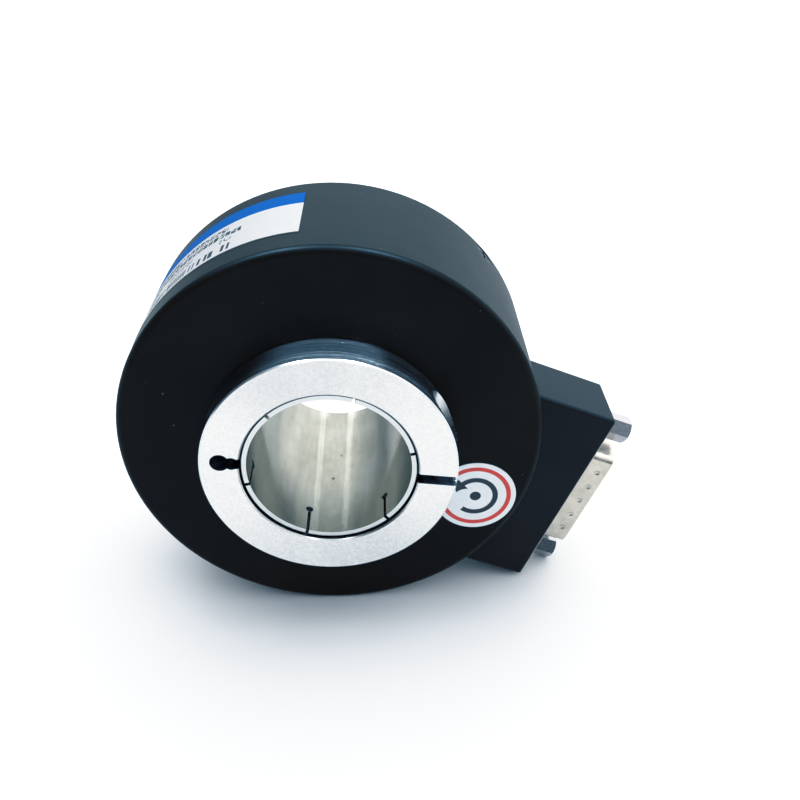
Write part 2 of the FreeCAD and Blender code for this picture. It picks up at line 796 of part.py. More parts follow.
def circlip(name, inner, outer, front, lug_radius, gap_angle):
    """Retaining ring with a gap, and a lug with a plier hole at each side of the gap."""
    lug_offset = "circlip_gap / 2 + circlip_lug_radius * 0.6"
    band = ring(name + "_band", inner, outer, front, front + " + circlip_thickness")
    gap = centred_block(name + "_gap", "circlip_gap / 2", (front + " - 1", "10"),
                        (front + " + circlip_thickness + 1", "30"))
    lugs = []
    eyes = []
    for count, sign in enumerate(("-", "")):
        across = "%s(%s)" % (sign, lug_offset)
        lugs.append(rod("%s_lug_%d" % (name, count), "circlip_lug_radius",
                        (across, front, lug_radius), "circlip_thickness", "Y"))
        eyes.append(rod("%s_eye_%d" % (name, count), "circlip_eye_radius",
                        (across, front + " - 1", lug_radius), "circlip_thickness + 2", "Y"))
    gapped = cut(name + "_gapped", band, [on_radius(name + "_gap_turned", gap, gap_angle)])
    turned_lugs = on_radius(name + "_lugs", gathered(name + "_lug_pair", lugs), gap_angle)
    turned_eyes = on_radius(name + "_eyes", gathered(name + "_eye_pair", eyes), gap_angle)
    return cut(name, joined(name + "_solid", [gapped, turned_lugs]), [turned_eyes])


def make_circlips():
    sub_part(circlip("bore_ring", "bore_circlip_inner", "bore_circlip_outer",
                     "front_bearing - circlip_thickness", "bore_circlip_inner + 0.2", 60.0),
             "bore_circlip")
    sub_part(circlip("shaft_ring", "shaft_circlip_inner", "shaft_circlip_outer",
                     "rear_bearing + bearing_width", "shaft_circlip_outer - 1", 90.0),
             "shaft_circlip")


# ---------------------------------------------------------------- code disc and optical head

def disc_screw_holes(name, radius):
    return [on_radius("%s_turned_%d" % (name, count),
                      rod("%s_%d" % (name, count), radius,
                          ("0", "clamp_ring_front - 1", "disc_screw_radius"),
                          "disc_screw_length + 1", "Y"), angle)
            for count, angle in enumerate(spread(0.0, 3))]


def make_disc_stack():
    hub = revolved("hub_blank", [
        ("shaft_radius", "hub_front"),
        ("hub_spigot_radius", "hub_front"),
        ("hub_spigot_radius", "disc_rear"),
        ("hub_flange_radius", "disc_rear"),
        ("hub_flange_radius", "hub_flange_rear"),
        ("inner_spacer_radius", "hub_flange_rear"),
        ("inner_spacer_radius", "front_bearing"),
        ("shaft_radius", "front_bearing")])
    sub_part(cut("hub", hub, disc_screw_holes("hub_hole", "small_thread")), "disc_hub")
    disc = ring("disc_blank", "hub_spigot_radius", "disc_radius", "disc_front", "disc_rear")
    sub_part(cut("disc", disc, disc_screw_holes("disc_hole", "small_thread + 0.1")), "code_disc")
    clamp = ring("clamp_ring_blank", "hub_spigot_radius", "clamp_ring_radius",
                 "clamp_ring_front", "disc_front")
    sub_part(cut("clamp_ring", clamp, disc_screw_holes("ring_hole", "small_thread + 0.1")),
             "disc_clamp_ring")
    screws = [facing_front(pan_screw("disc_screw_%d" % count, "small", "disc_screw_length"),
                           angle, DIMENSIONS["disc_screw_radius"], DIMENSIONS["clamp_ring_front"])
              for count, angle in enumerate(spread(0.0, 3))]
    sub_part(gathered("disc_screw_group", screws), "disc_screws")


def make_optical_head():
    """Light source in front of the disc, reticle and detector behind it, on one bracket."""
    width = "head_half_width"
    angle = DIMENSIONS["head_angle"]
    frame_blocks = [
        centred_block("head_spine", width, ("head_front", "head_spine_inner"),
                      ("base_front", "head_spine_outer")),
        centred_block("head_front_arm", width, ("head_front", "head_arm_inner"),
                      ("front_arm_rear", "head_spine_outer")),
        centred_block("head_rear_arm", width, ("rear_arm_front", "head_arm_inner"),
                      ("rear_arm_rear", "head_spine_outer")),
        centred_block("head_foot", "foot_half_width", ("foot_front", "foot_inner"),
                      ("base_front", "foot_outer")),
    ]
    sensor_low = ("rear_arm_front", "track_radius - 2")
    sensor_high = ("rear_arm_front + sensor_depth", "track_radius + 2")
    holes = [
        rod("led_hole", "led_radius", ("0", "head_front - 1", "track_radius"),
            "front_arm_rear - head_front + 2", "Y"),
        centred_block("sensor_pocket", "sensor_half_width", sensor_low, sensor_high),
    ]
    for count, side in enumerate(("-foot_screw_offset", "foot_screw_offset")):
        holes.append(rod("foot_hole_%d" % count, "small_thread",
                         (side, "foot_front - 1", "foot_screw_radius"), "4", "Y"))
    bracket = cut("head_bracket", joined("head_frame", frame_blocks), holes)
    sub_part(on_radius("head_bracket_turned", bracket, angle), "sensor_bracket")

    lamp = joined("led_solid", [
        rod("led_stem", "led_radius", ("0", "head_front", "track_radius"),
            "led_tip - led_radius - head_front", "Y"),
        ball("led_dome", "led_radius", ("0", "led_tip - led_radius", "track_radius"))])
    sub_part(on_radius("led_turned", lamp, angle), "led_emitter")
    glass = centred_block("reticle_glass", "reticle_half_width",
                          ("reticle_front", "head_arm_inner + 0.2"),
                          ("rear_arm_front", "head_arm_inner + 5.2"))
    sub_part(on_radius("reticle_turned", glass, angle), "reticle")
    chip = centred_block("sensor_chip", "sensor_half_width", sensor_low, sensor_high)
    sub_part(on_radius("sensor_turned", chip, angle), "photodetector")

    aside = math.degrees(math.atan2(DIMENSIONS["foot_screw_offset"],
                                    DIMENSIONS["foot_screw_radius"]))
    reach = math.hypot(DIMENSIONS["foot_screw_offset"], DIMENSIONS["foot_screw_radius"])
    screws = [facing_front(pan_screw("foot_screw_%d" % count, "small", "5.5"),
                           angle + turn, reach, DIMENSIONS["foot_front"])
              for count, turn in enumerate((-aside, aside))]
    sub_part(gathered("foot_screw_pair", screws), "bracket_screws")


# ---------------------------------------------------------------- circuit boards and cable

def make_main_board():
    blank = ring("board_blank", "board_inner", "board_outer", "board_front", "board_rear")
    notch = centred_block("board_notch", "board_notch_half_width",
                          ("board_front - 1", "board_inner - 2"),
                          ("board_rear + 1", "board_outer + 2"))
    tools = [on_radius("board_notch_turned", notch, DIMENSIONS["head_angle"])]
    screws = []
    for count, angle in enumerate(cover_screw_angles()):
        hole = rod("board_hole_%d" % count, "medium_thread + 0.15",
                   ("0", "board_front - 1", "pillar_distance"), "4", "Y")
        tools.append(on_radius("board_hole_turned_%d" % count, hole, angle))
        screws.append(facing_front(pan_screw("board_screw_%d" % count, "medium", "5.6"), angle,
                                   DIMENSIONS["pillar_distance"], DIMENSIONS["board_front"]))
    sub_part(cut("board", blank, tools), "main_board")
    sub_part(gathered("board_screw_group", screws), "board_screws")


def make_board_components():
    chips = []
    for count, angle in enumerate((13.0, 60.0, 82.0, 192.0, 214.0, 246.0)):
        chip = centred_block("chip_%d" % count, "chip_half_width",
                             ("board_front - chip_height", "chip_inner"),
                             ("board_front", "chip_inner + chip_length"))
        chips.append(on_radius("chip_turned_%d" % count, chip, angle))
    sub_part(gathered("chip_group", chips), "driver_chips")
    cans = []
    for count, angle in enumerate((176.0, 232.0, 302.0)):
        can = rod("can_%d" % count, "capacitor_radius",
                  ("0", "board_front - capacitor_height", "pillar_distance"),
                  "capacitor_height", "Y")
        cans.append(on_radius("can_turned_%d" % count, can, angle))
    sub_part(gathered("can_group", cans), "capacitors")
    header = centred_block("board_header_block", "header_half_length",
                           ("board_header_front", "ribbon_radius - header_half_width"),
                           ("board_front", "ribbon_radius + header_half_width"))
    sub_part(on_radius("board_header_turned", header, DIMENSIONS["box_angle"]), "board_header")


def make_ribbon_cable():
    """Flat cable that rises from the main board and bends outwards to the adapter board."""
    half = "ribbon_thickness / 2"
    bend_y = "connector_axis + ribbon_bend"
    bend_z = "ribbon_radius + ribbon_bend"
    rise = centred_block("ribbon_rise", "ribbon_half_width",
                         (bend_y, "ribbon_radius - " + half),
                         ("board_header_front", "ribbon_radius + " + half))
    run = centred_block("ribbon_run", "ribbon_half_width",
                        ("connector_axis - " + half, bend_z),
                        ("connector_axis + " + half, "adapter_header_inner"))
    outer = rod("ribbon_bend_outer", "ribbon_bend + " + half,
                ("-ribbon_half_width", bend_y, bend_z), "ribbon_half_width * 2", "X")
    inner = rod("ribbon_bend_inner", "ribbon_bend - " + half,
                ("-ribbon_half_width - 1", bend_y, bend_z), "ribbon_half_width * 2 + 2", "X")
    quarter = centred_block("ribbon_bend_corner", "ribbon_half_width + 1",
                            (bend_y + " - 4", bend_z + " - 4"), (bend_y, bend_z))
    corner = doc.addObject("Part::Common", "ribbon_bend_quarter")
    corner.Base = cut("ribbon_bend_tube", outer, [inner])
    corner.Tool = quarter
    cable = joined("ribbon", [rise, corner, run])
    sub_part(on_radius("ribbon_turned", cable, DIMENSIONS["box_angle"]), "ribbon_cable")


# ---------------------------------------------------------------- connector box

def make_connector_box():
    """Hollow box, open to the cup's window, its root shaped to the round of the housing."""
    outside = centred_block("box_outside", "box_half_length", ("box_front", "box_root"),
                            ("box_rear", "box_face"))
    face = DIMENSIONS["box_face"]
    ridged = rounded("box_ridged", outside, DIMENSIONS["box_ridge_round"], is_upright)
    smooth = rounded("box_rounded", ridged, DIMENSIONS["box_face_round"],
                     lambda edge: edge.BoundBox.ZMin > face - 0.01)
    inside = centred_block("box_inside", "box_half_length - box_end_wall",
                           ("box_front + box_side_wall", "box_root - 1"),
                           ("box_rear - box_side_wall", "plug_seat - box_face_wall"))
    lugs = []
    for count, sign in enumerate(("-", "")):
        near, far = sign + "lug_inner", sign + "(lug_outer + 0.5)"
        first, last = (far, near) if sign else (near, far)
        lugs.append(block("lug_%d" % count,
                          (first, "connector_axis - lug_half_width", "box_root"),
                          (last, "connector_axis + lug_half_width", "lug_top")))
    hollow = joined("box_with_lugs", [cut("box_hollow", smooth, [inside])] + lugs)
    tools = [
        rod("box_root_round", "housing_radius", ("0", "box_front - 5", "0"),
            "box_rear - box_front + 10", "Y"),
        d_block("plug_opening", "-0.2", "plug_seat - box_face_wall - 1", "box_face + 1",
                DIMENSIONS["shell_corner"]),
        flange_recess(),
    ]
    for count, side in enumerate(("-jack_half_pitch", "jack_half_pitch")):
        tools.append(rod("jack_hole_%d" % count, "jack_thread_radius + 0.03",
                         (side, "connector_axis", "plug_seat - jack_stud_length"),
                         "jack_stud_length + 1", "Z"))
    for count, angle in enumerate((-DIMENSIONS["box_screw_swing"], DIMENSIONS["box_screw_swing"])):
        hole = rod("lug_hole_%d" % count, "medium_thread",
                   ("0", "connector_axis", "box_screw_seat"), "box_screw_length", "Z")
        holder = gathered("lug_hole_turned_%d" % count, [hole])
        holder.Placement = Placement(Vector(0, 0, 0), Rotation(BODY_AXIS, angle))
        tools.append(holder)
    box = cut("box_finished", hollow, tools)
    sub_part(on_radius("box_turned", box, DIMENSIONS["box_angle"]), "connector_box")
    screws = [along_radius(inward_screw("box_screw_%d" % count), angle,
                           DIMENSIONS["box_screw_seat"], DIMENSIONS["connector_axis"])
              for count, angle in enumerate(box_screw_angles())]
    sub_part(gathered("box_screw_pair", screws), "box_screws")


def inward_screw(name):
    """Pan-head screw whose head is inside the cup and whose thread points outwards."""
    screw = pan_screw(name + "_upright", "medium", "box_screw_length")
    screw.Placement = Placement(Vector(0, 0, 0), Rotation(Vector(1, 0, 0), 180))
    return gathered(name, [screw])


def flange_recess():
    """Shallow pocket in the box's face that the plug's flange drops into."""
    pocket = centred_block("flange_pocket", "flange_half_length + recess_play",
                           ("connector_axis - flange_half_width - recess_play", "plug_seat"),
                           ("connector_axis + flange_half_width + recess_play", "box_face + 1"))
    return rounded("flange_pocket_rounded", pocket, DIMENSIONS["flange_corner"], is_upright)


def flange_plate(name, low, high):
    """Oblong plate of the plug, with a hole for each jackscrew."""
    plate = centred_block(name + "_blank", "flange_half_length",
                          ("connector_axis - flange_half_width", low),
                          ("connector_axis + flange_half_width", high))
    smooth = rounded(name + "_rounded", plate, DIMENSIONS["flange_corner"], is_upright)
    holes = [rod("%s_hole_%d" % (name, count), "jack_clearance_radius",
                 (side, "connector_axis", low + " - 1"), "flange_thickness + 2", "Z")
             for count, side in enumerate(("-jack_half_pitch", "jack_half_pitch"))]
    return cut(name, smooth, holes)


def make_plug_shells():
    angle = DIMENSIONS["box_angle"]
    outer_corner = DIMENSIONS["shell_corner"]
    inner_corner = outer_corner - DIMENSIONS["shell_wall"]
    seam = "(plug_seat + flange_thickness)"
    top = "(plug_seat + flange_thickness * 2)"
    tip = "(%s + shell_length)" % top

    tube = d_block("front_tube", "0", seam, tip, outer_corner)
    tip_height = (DIMENSIONS["plug_seat"] + 2 * DIMENSIONS["flange_thickness"]
                  + DIMENSIONS["shell_length"])
    lipped = rounded("front_tube_lipped", tube, DIMENSIONS["shell_lip"],
                     lambda edge: edge.BoundBox.ZMin > tip_height - 0.01)
    solid = joined("front_shell_solid", [flange_plate("front_flange", seam, top), lipped])
    tools = [d_block("front_opening", "shell_wall", seam + " - 1", tip + " + 1", inner_corner)]
    sink = "dimple_radius - dimple_depth"
    for side, sign, count in (("narrow", "-", 5), ("wide", "+", 6)):
        for step in range(count):
            across = "dimple_pitch * %.1f" % (step - (count - 1) / 2)
            away = "connector_axis %s (shell_half_height + %s)" % (sign, sink)
            tools.append(ball("%s_dimple_%d" % (side, step), "dimple_radius",
                              (across, away, top + " + dimple_height")))
    front = cut("front_shell", solid, tools)
    sub_part(on_radius("front_shell_turned", front, angle), "dsub_front_shell")

    back = "(plug_seat - rear_shell_length)"
    cup = d_block("rear_tube", "0", back, seam, outer_corner)
    solid = joined("rear_shell_solid", [flange_plate("rear_flange", "plug_seat", seam), cup])
    opening = d_block("rear_opening", "shell_wall", back + " - 1", seam + " + 1", inner_corner)
    rear = cut("rear_shell", solid, [opening])
    sub_part(on_radius("rear_shell_turned", rear, angle), "dsub_rear_shell")


def contact_places():
    """Row of eight beside the wide side of the shell, row of seven beside the narrow side."""
    places = []
    for count, row in ((8, "connector_axis + contact_row"), (7, "connector_axis - contact_row")):
        for step in range(count):
            places.append(("contact_pitch * %.1f" % (step - (count - 1) / 2), row))
    return places


def make_insulator_and_pins():
    angle = DIMENSIONS["box_angle"]
    inner_corner = DIMENSIONS["shell_corner"] - DIMENSIONS["shell_wall"]
    face = "(plug_seat + flange_thickness * 2 + insulator_face)"
    back = "(plug_seat - rear_shell_length)"
    blank = d_block("insulator_blank", "shell_wall", back, face, inner_corner)
    pins = []
    holes = []
    for count, (across, row) in enumerate(contact_places()):
        tip = "(%s + contact_length)" % face
        tail = "(plug_seat - contact_tail)"
        stem = rod("pin_stem_%d" % count, "contact_radius", (across, row, tail),
                   "%s - contact_radius - %s" % (tip, tail), "Z")
        dome = ball("pin_dome_%d" % count, "contact_radius",
                    (across, row, tip + " - contact_radius"))
        pins.append(joined("pin_%d" % count, [stem, dome]))
        holes.append(rod("pin_hole_%d" % count, "contact_radius",
                         (across, row, back + " - 1"), "%s - %s + 2" % (face, back), "Z"))
    insulator = cut("insulator", blank, holes)
    sub_part(on_radius("insulator_turned", insulator, angle), "dsub_insulator")
    sub_part(on_radius("pins_turned", gathered("pin_group", pins), angle), "dsub_pins")


def make_adapter_board():
    angle = DIMENSIONS["box_angle"]
    top = "adapter_inner + adapter_thickness"
    plate = centred_block("adapter_plate", "adapter_half_length",
                          ("connector_axis - adapter_half_width", "adapter_inner"),
                          ("connector_axis + adapter_half_width", top))
    holes = [rod("adapter_hole_%d" % count, "contact_radius",
                 (across, row, "adapter_inner - 1"), "adapter_thickness + 2", "Z")
             for count, (across, row) in enumerate(contact_places())]
    sub_part(on_radius("adapter_turned", cut("adapter", plate, holes), angle), "adapter_board")
    header = centred_block("adapter_header_block", "header_half_length",
                           ("connector_axis - header_half_width", "adapter_header_inner"),
                           ("connector_axis + header_half_width",
                            "plug_seat - contact_tail"))
    sub_part(on_radius("adapter_header_turned", header, angle), "adapter_header")


def make_jackscrews():
    """Hexagonal jackscrews with a stud through the flange and a tapped hole in the tip."""
    seat = "(plug_seat + flange_thickness * 2)"
    tip = "(%s + jack_height)" % seat
    corner = "(jack_flats / 2 / cos(30))"
    screws = []
    for count, side in enumerate(("-jack_half_pitch", "jack_half_pitch")):
        hexagon = doc.addObject("Part::Prism", "jack_hexagon_%d" % count)
        hexagon.Polygon = 6
        hexagon.Placement.Rotation = Rotation(Vector(0, 0, 1), 30)
        bind(hexagon, {"Circumradius": corner, "Height": "jack_height",
                       "Placement.Base.z": seat})
        envelope = revolved("jack_envelope_%d" % count, [
            ("0", seat),
            (corner + " + 0.1", seat),
            (corner + " + 0.1", tip + " - jack_chamfer"),
            (corner + " + 0.1 - jack_chamfer * 1.7", tip),
            ("0", tip)], "XZ_Plane")
        trimmed = doc.addObject("Part::Common", "jack_head_%d" % count)
        trimmed.Base = hexagon
        trimmed.Tool = envelope
        stud = rod("jack_stud_%d" % count, "jack_thread_radius",
                   ("0", "0", "plug_seat - jack_stud_length"),
                   "jack_stud_length + flange_thickness * 2 + 1", "Z")
        bore = rod("jack_bore_%d" % count, "jack_thread_radius",
                   ("0", "0", tip + " - jack_hole_depth"), "jack_hole_depth + 1", "Z")
        screw = cut("jack_%d" % count, joined("jack_solid_%d" % count, [trimmed, stud]), [bore])
        bind(screw, {"Placement.Base.x": side, "Placement.Base.y": "connector_axis"})
        screws.append(screw)
    sub_part(on_radius("jacks_turned", gathered("jack_pair", screws), DIMENSIONS["box_angle"]),
             "jackscrews")


# ---------------------------------------------------------------- printed labels

def make_labels():
    sweep = DIMENSIONS["label_sweep"]
    turn = Rotation(BODY_AXIS, -(DIMENSIONS["label_start"] + sweep))
    layers = []
    for name, radius in (("label_outer", "housing_radius + label_thickness"),
                         ("label_core", "housing_radius")):
        layer = doc.addObject("Part::Cylinder", name)
        bind(layer, {"Radius": radius, "Height": "label_rear - label_front"})
        layers.append(layer)
    bind(layers[0], {"Angle": "label_sweep"})
    label = cut("label", layers[0], [layers[1]])
    label.Placement = Placement(Vector(0, DIMENSIONS["label_front"], 0),
                                turn.multiply(AXIS_TURNS["Y"]))
    sub_part(label, "rating_label")
    sticker = rod("sticker", "sticker_radius", ("0", "-label_thickness", "sticker_distance"),
                  "label_thickness", "Y")
    sub_part(on_radius("sticker_turned", sticker, DIMENSIONS["sticker_angle"]), "round_sticker")


# ---------------------------------------------------------------- check and write

def check_document():
    faults = [item.Name for item in doc.Objects
              if "Invalid" in item.State or "Error" in item.State]
    for item in sub_parts:
        if item.Shape.isNull() or not item.Shape.isValid() or not item.Shape.Solids:
            faults.append(item.Label)
    if faults:
        raise SystemExit("faulty objects: " + ", ".join(faults))


def write_sub_parts():
    os.makedirs("parts", exist_ok=True)
    for item in sub_parts:
        item.Shape.exportStep("parts/%s.step" % item.Label)


def main():
    fill_sheet()
    make_housing_cover()
    make_base_flange()
    make_cover_screws()
    make_shaft_seal()
    make_hollow_shaft()
    make_clamp_collar()
    make_clamp_screw()
    for side in ("front", "rear"):
        make_bearing(side)
    make_bearing_stack()
    make_circlips()
    make_disc_stack()
    make_optical_head()
    make_main_board()
    make_board_components()
    make_ribbon_cable()
    make_connector_box()
    make_plug_shells()
    make_insulator_and_pins()
    make_adapter_board()
    make_jackscrews()
    make_labels()
    doc.recompute()
    check_document()
    write_sub_parts()
    print("%d sub-parts, %d solids" % (len(sub_parts),
                                       sum(len(item.Shape.Solids) for item in sub_parts)))


main()
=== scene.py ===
import json
import math

import bpy
from mathutils import Matrix, Vector


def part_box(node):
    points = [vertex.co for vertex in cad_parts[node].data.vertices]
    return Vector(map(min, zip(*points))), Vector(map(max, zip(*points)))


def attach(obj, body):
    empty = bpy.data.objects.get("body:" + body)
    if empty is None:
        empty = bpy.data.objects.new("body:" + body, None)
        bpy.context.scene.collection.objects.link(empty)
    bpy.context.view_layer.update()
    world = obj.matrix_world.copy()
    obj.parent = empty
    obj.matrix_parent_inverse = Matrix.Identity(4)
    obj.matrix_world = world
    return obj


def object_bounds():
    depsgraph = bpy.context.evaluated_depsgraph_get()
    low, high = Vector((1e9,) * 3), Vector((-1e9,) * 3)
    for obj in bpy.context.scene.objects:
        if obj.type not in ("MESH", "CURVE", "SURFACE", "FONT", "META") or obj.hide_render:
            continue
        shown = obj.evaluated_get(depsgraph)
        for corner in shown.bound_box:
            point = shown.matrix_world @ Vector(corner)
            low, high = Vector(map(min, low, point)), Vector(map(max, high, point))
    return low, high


# Looks of a hollow-shaft rotary encoder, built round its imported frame.
#
# The row frame: the shaft turns about Y, the clamp collar is on the -Y side, +Z is up and the
# connector box leans out on +X. Lengths in this script are in millimetres, and every mesh is
# scaled to metres when it is made.

MM = 0.001
SHAFT_AXIS = Vector((0, 1, 0))

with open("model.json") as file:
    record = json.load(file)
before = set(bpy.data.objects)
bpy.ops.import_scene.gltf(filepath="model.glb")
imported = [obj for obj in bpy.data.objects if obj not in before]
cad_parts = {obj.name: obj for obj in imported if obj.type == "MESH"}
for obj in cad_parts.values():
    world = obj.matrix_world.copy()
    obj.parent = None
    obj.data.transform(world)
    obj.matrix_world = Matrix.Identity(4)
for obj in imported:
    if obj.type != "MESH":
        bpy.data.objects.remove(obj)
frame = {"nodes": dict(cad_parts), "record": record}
cad_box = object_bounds()


def box_mm(node):
    """Lowest and highest corner of a CAD node, in millimetres."""
    low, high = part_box(node)
    return low / MM, high / MM


# ---------------------------------------------------------------- sizes read from the frame

STICKER_LOW, STICKER_HIGH = box_mm("round_sticker")
HOUSING_RADIUS = box_mm("housing_cover")[1].x
BASE_BACK = box_mm("base_flange")[1].y
RIBBON_BOTTOM = box_mm("ribbon_cable")[0].z
FLOOR_LEVEL = cad_box[0].z / MM
MOUNTS = {mount["name"]: mount for mount in frame["record"]["mounts"]}

# ---------------------------------------------------------------- chosen values

# Where the label's edge and the first fixing hole are, round the shaft from +X towards +Z, and
# where the label's blue band begins, along the shaft.
LABEL_START = math.radians(94.9)
FIRST_FIXING = math.radians(83.9)
BAND_FROM = 21.06

# The sky is brightest towards one direction, above and behind the part, and dim opposite it.
SKY_TOWARDS = Vector((0.40, 0.38, 0.83)).normalized()
SKY_STRENGTH = 1.88
SKY_DIM = (0.036, 0.039, 0.044)

# Display response, as (light in, light out) points on the curve of each colour and of all three.
RED_TONES = ((0.015, 0.0120), (0.05, 0.028), (0.20, 0.155), (0.60, 0.575))
GREEN_TONES = ((0.05, 0.047), (0.20, 0.198), (0.60, 0.60))
BLUE_TONES = ((0.015, 0.0178), (0.05, 0.063), (0.20, 0.230), (0.60, 0.625))
ALL_TONES = ((0.35, 0.325), (0.56, 0.59), (0.75, 0.84))

# Lamps stand in threes, a step of tilt in degrees apart. Each row has a tilt in degrees, a middle
# along the shaft and a length in millimetres, and a power in watts. The first row is overhead and
# lights the collar's rim, and the second is far behind and shows in the bore.
TUBE_STEP = 2.8
TUBE_WIDTH = 12.0
TUBE_HEIGHT = 1100.0
TUBE_COLOUR = (0.86, 0.93, 1.0)
TUBE_ROWS = (("near", 18.4, 60.0, 260.0, 10.0), ("far", 22.5, 2050.0, 1000.0, 0.24))


# ---------------------------------------------------------------- shader building

class Shader:
    """A Principled material built from small steps. Coordinates are row-frame millimetres."""

    def __init__(self, name, **settings):
        self.material = bpy.data.materials.new(name)
        self.material.use_nodes = True
        self.tree = self.material.node_tree
        self.surface = self.tree.nodes["Principled BSDF"]
        coordinates = self.new("ShaderNodeTexCoord")
        self.place = self.vector("SCALE", coordinates.outputs["Object"], scale=1 / MM)
        self.facing = coordinates.outputs["Normal"]
        for name_of_socket, value in settings.items():
            self.set(name_of_socket.replace("_", " "), value)

    def new(self, kind, **settings):
        node = self.tree.nodes.new(kind)
        for key, value in settings.items():
            setattr(node, key, value)
        return node

    def feed(self, socket, value):
        """Link a socket to a socket, or give it a plain value."""
        if isinstance(value, bpy.types.NodeSocket):
            self.tree.links.new(value, socket)
        elif isinstance(value, tuple) and len(value) == 3 and socket.type == "RGBA":
            socket.default_value = (*value, 1.0)
        else:
            socket.default_value = value

    def set(self, name_of_socket, value):
        self.feed(self.surface.inputs[name_of_socket], value)

    def math(self, operation, first, second=0.0):
        node = self.new("ShaderNodeMath", operation=operation)
        self.feed(node.inputs[0], first)
        self.feed(node.inputs[1], second)
        return node.outputs[0]

    def vector(self, operation, first, second=None, scale=1.0):
        node = self.new("ShaderNodeVectorMath", operation=operation)
        self.feed(node.inputs[0], first)
        if second is not None:
            self.feed(node.inputs[1], second)
        if operation == "SCALE":
            node.inputs["Scale"].default_value = scale
        return node.outputs["Value" if operation in ("LENGTH", "DOT_PRODUCT") else "Vector"]

    def stretched(self, x, y, z):
        """Coordinates stretched by a factor along each axis."""
        return self.vector("MULTIPLY", self.place, (x, y, z))

    def split(self, value):
        node = self.new("ShaderNodeSeparateXYZ")
        self.feed(node.inputs[0], value)
        return node.outputs

    def join(self, x, y, z):
        node = self.new("ShaderNodeCombineXYZ")
        for socket, value in zip(node.inputs, (x, y, z)):
            self.feed(socket, value)
        return node.outputs[0]

    def radius(self):
        """Distance from the shaft axis."""
        return self.vector("LENGTH", self.stretched(1, 0, 1))

    def angle(self):
        """Angle round the shaft, in radians from +X towards +Z."""
        x, _, z = self.split(self.place)
        return self.math("ARCTAN2", z, x)

    def noise(self, where, scale, detail=2.0, roughness=0.5):
        node = self.new("ShaderNodeTexNoise")
        self.feed(node.inputs["Vector"], where)
        node.inputs["Scale"].default_value = scale
        node.inputs["Detail"].default_value = detail
        node.inputs["Roughness"].default_value = roughness
        return node.outputs["Fac"]

    def cells(self, where, scale, feature="F1"):
        node = self.new("ShaderNodeTexVoronoi", feature=feature)
        self.feed(node.inputs["Vector"], where)
        node.inputs["Scale"].default_value = scale
        return node.outputs["Distance"]

    def fit(self, value, low, high, to_low=0.0, to_high=1.0):
        """Map a value from one range to another, held at its ends."""
        node = self.new("ShaderNodeMapRange")
        self.feed(node.inputs["Value"], value)
        for key, number in (("From Min", low), ("From Max", high),
                            ("To Min", to_low), ("To Max", to_high)):
            self.feed(node.inputs[key], number)
        return node.outputs["Result"]

    def mix(self, share, first, second):
        """Blend two colours. A Mix node keeps its colours on sockets 6 and 7, and output 2."""
        node = self.new("ShaderNodeMix", data_type="RGBA")
        self.feed(node.inputs["Factor"], share)
        self.feed(node.inputs[6], first)
        self.feed(node.inputs[7], second)
        return node.outputs[2]

    def blend(self, share, first, second):
        """Blend two numbers."""
        return self.fit(share, 0.0, 1.0, first, second)

    def bump(self, height, depth):
        """Relief of a depth in millimetres where height goes from 0 to 1."""
        node = self.new("ShaderNodeBump")
        node.inputs["Strength"].default_value = 1.0
        node.inputs["Distance"].default_value = depth * MM
        self.feed(node.inputs["Height"], height)
        self.set("Normal", node.outputs["Normal"])

    def turned_lines(self, pitch, wander=0.6):
        """Noise in rings round the shaft, as a lathe tool leaves on a face or a cylinder."""
        along = self.split(self.place)[1]
        out = self.math("ADD", self.radius(), along)
        around = self.vector("NORMALIZE", self.stretched(1, 0, 1))
        around_x, _, around_z = self.split(around)
        where = self.join(self.math("MULTIPLY", out, 1 / pitch),
                          self.math("MULTIPLY", around_x, wander),
                          self.math("MULTIPLY", around_z, wander))
        return self.noise(where, 1.0, 3.0, 0.6)

    def is_flat_end(self):
        """1 where the surface faces along the shaft, 0 on the round."""
        across = self.math("ABSOLUTE", self.split(self.facing)[1])
        return self.fit(across, 0.6, 0.75)

    def use_tangent(self, share):
        """Stretch the highlights across marks that run round the shaft, as grooves do."""
        tangent = self.new("ShaderNodeTangent", direction_type="RADIAL", axis="Y")
        self.set("Anisotropic", share)
        self.set("Anisotropic Rotation", 0.25)
        self.set("Tangent", tangent.outputs["Tangent"])


# ---------------------------------------------------------------- paints and metals

def satin_paint(name, shade, shine):
    """Black powder paint: fine orange peel, uneven gloss and a little dust."""
    s = Shader(name, Specular_IOR_Level=shine)
    s.set("Specular Tint", (0.58, 0.84, 1.0))
    clouds = s.noise(s.place, 0.05, 3.0)
    grain = s.noise(s.place, 3.2, 3.0, 0.6)
    pores = s.noise(s.place, 0.9, 2.0)
    dust = s.fit(s.cells(s.place, 0.17), 0.022, 0.03, 1.0, 0.0)
    lint = s.fit(s.cells(s.stretched(0.5, 1.0, 0.23), 0.33), 0.016, 0.024, 1.0, 0.0)
    specks = s.math("MAXIMUM", dust, lint)
    darker = tuple(0.72 * part for part in shade)
    lighter = tuple(1.25 * part for part in shade)
    paint = s.mix(s.fit(clouds, 0.35, 0.65), darker, lighter)
    s.set("Base Color", s.mix(specks, paint, (0.16, 0.17, 0.18)))
    gloss = s.fit(s.math("ADD", clouds, grain), 0.7, 1.3, 0.36, 0.46)
    s.set("Roughness", s.math("ADD", gloss, s.math("MULTIPLY", specks, 0.3)))
    s.bump(s.math("ADD", grain, s.math("MULTIPLY", pores, 0.8)), 0.006)
    return s.material


def housing_black(name):
    return satin_paint(name, (0.0064, 0.0061, 0.0036), 0.10)


def box_black(name):
    return satin_paint(name, (0.0082, 0.0080, 0.0068), 0.16)


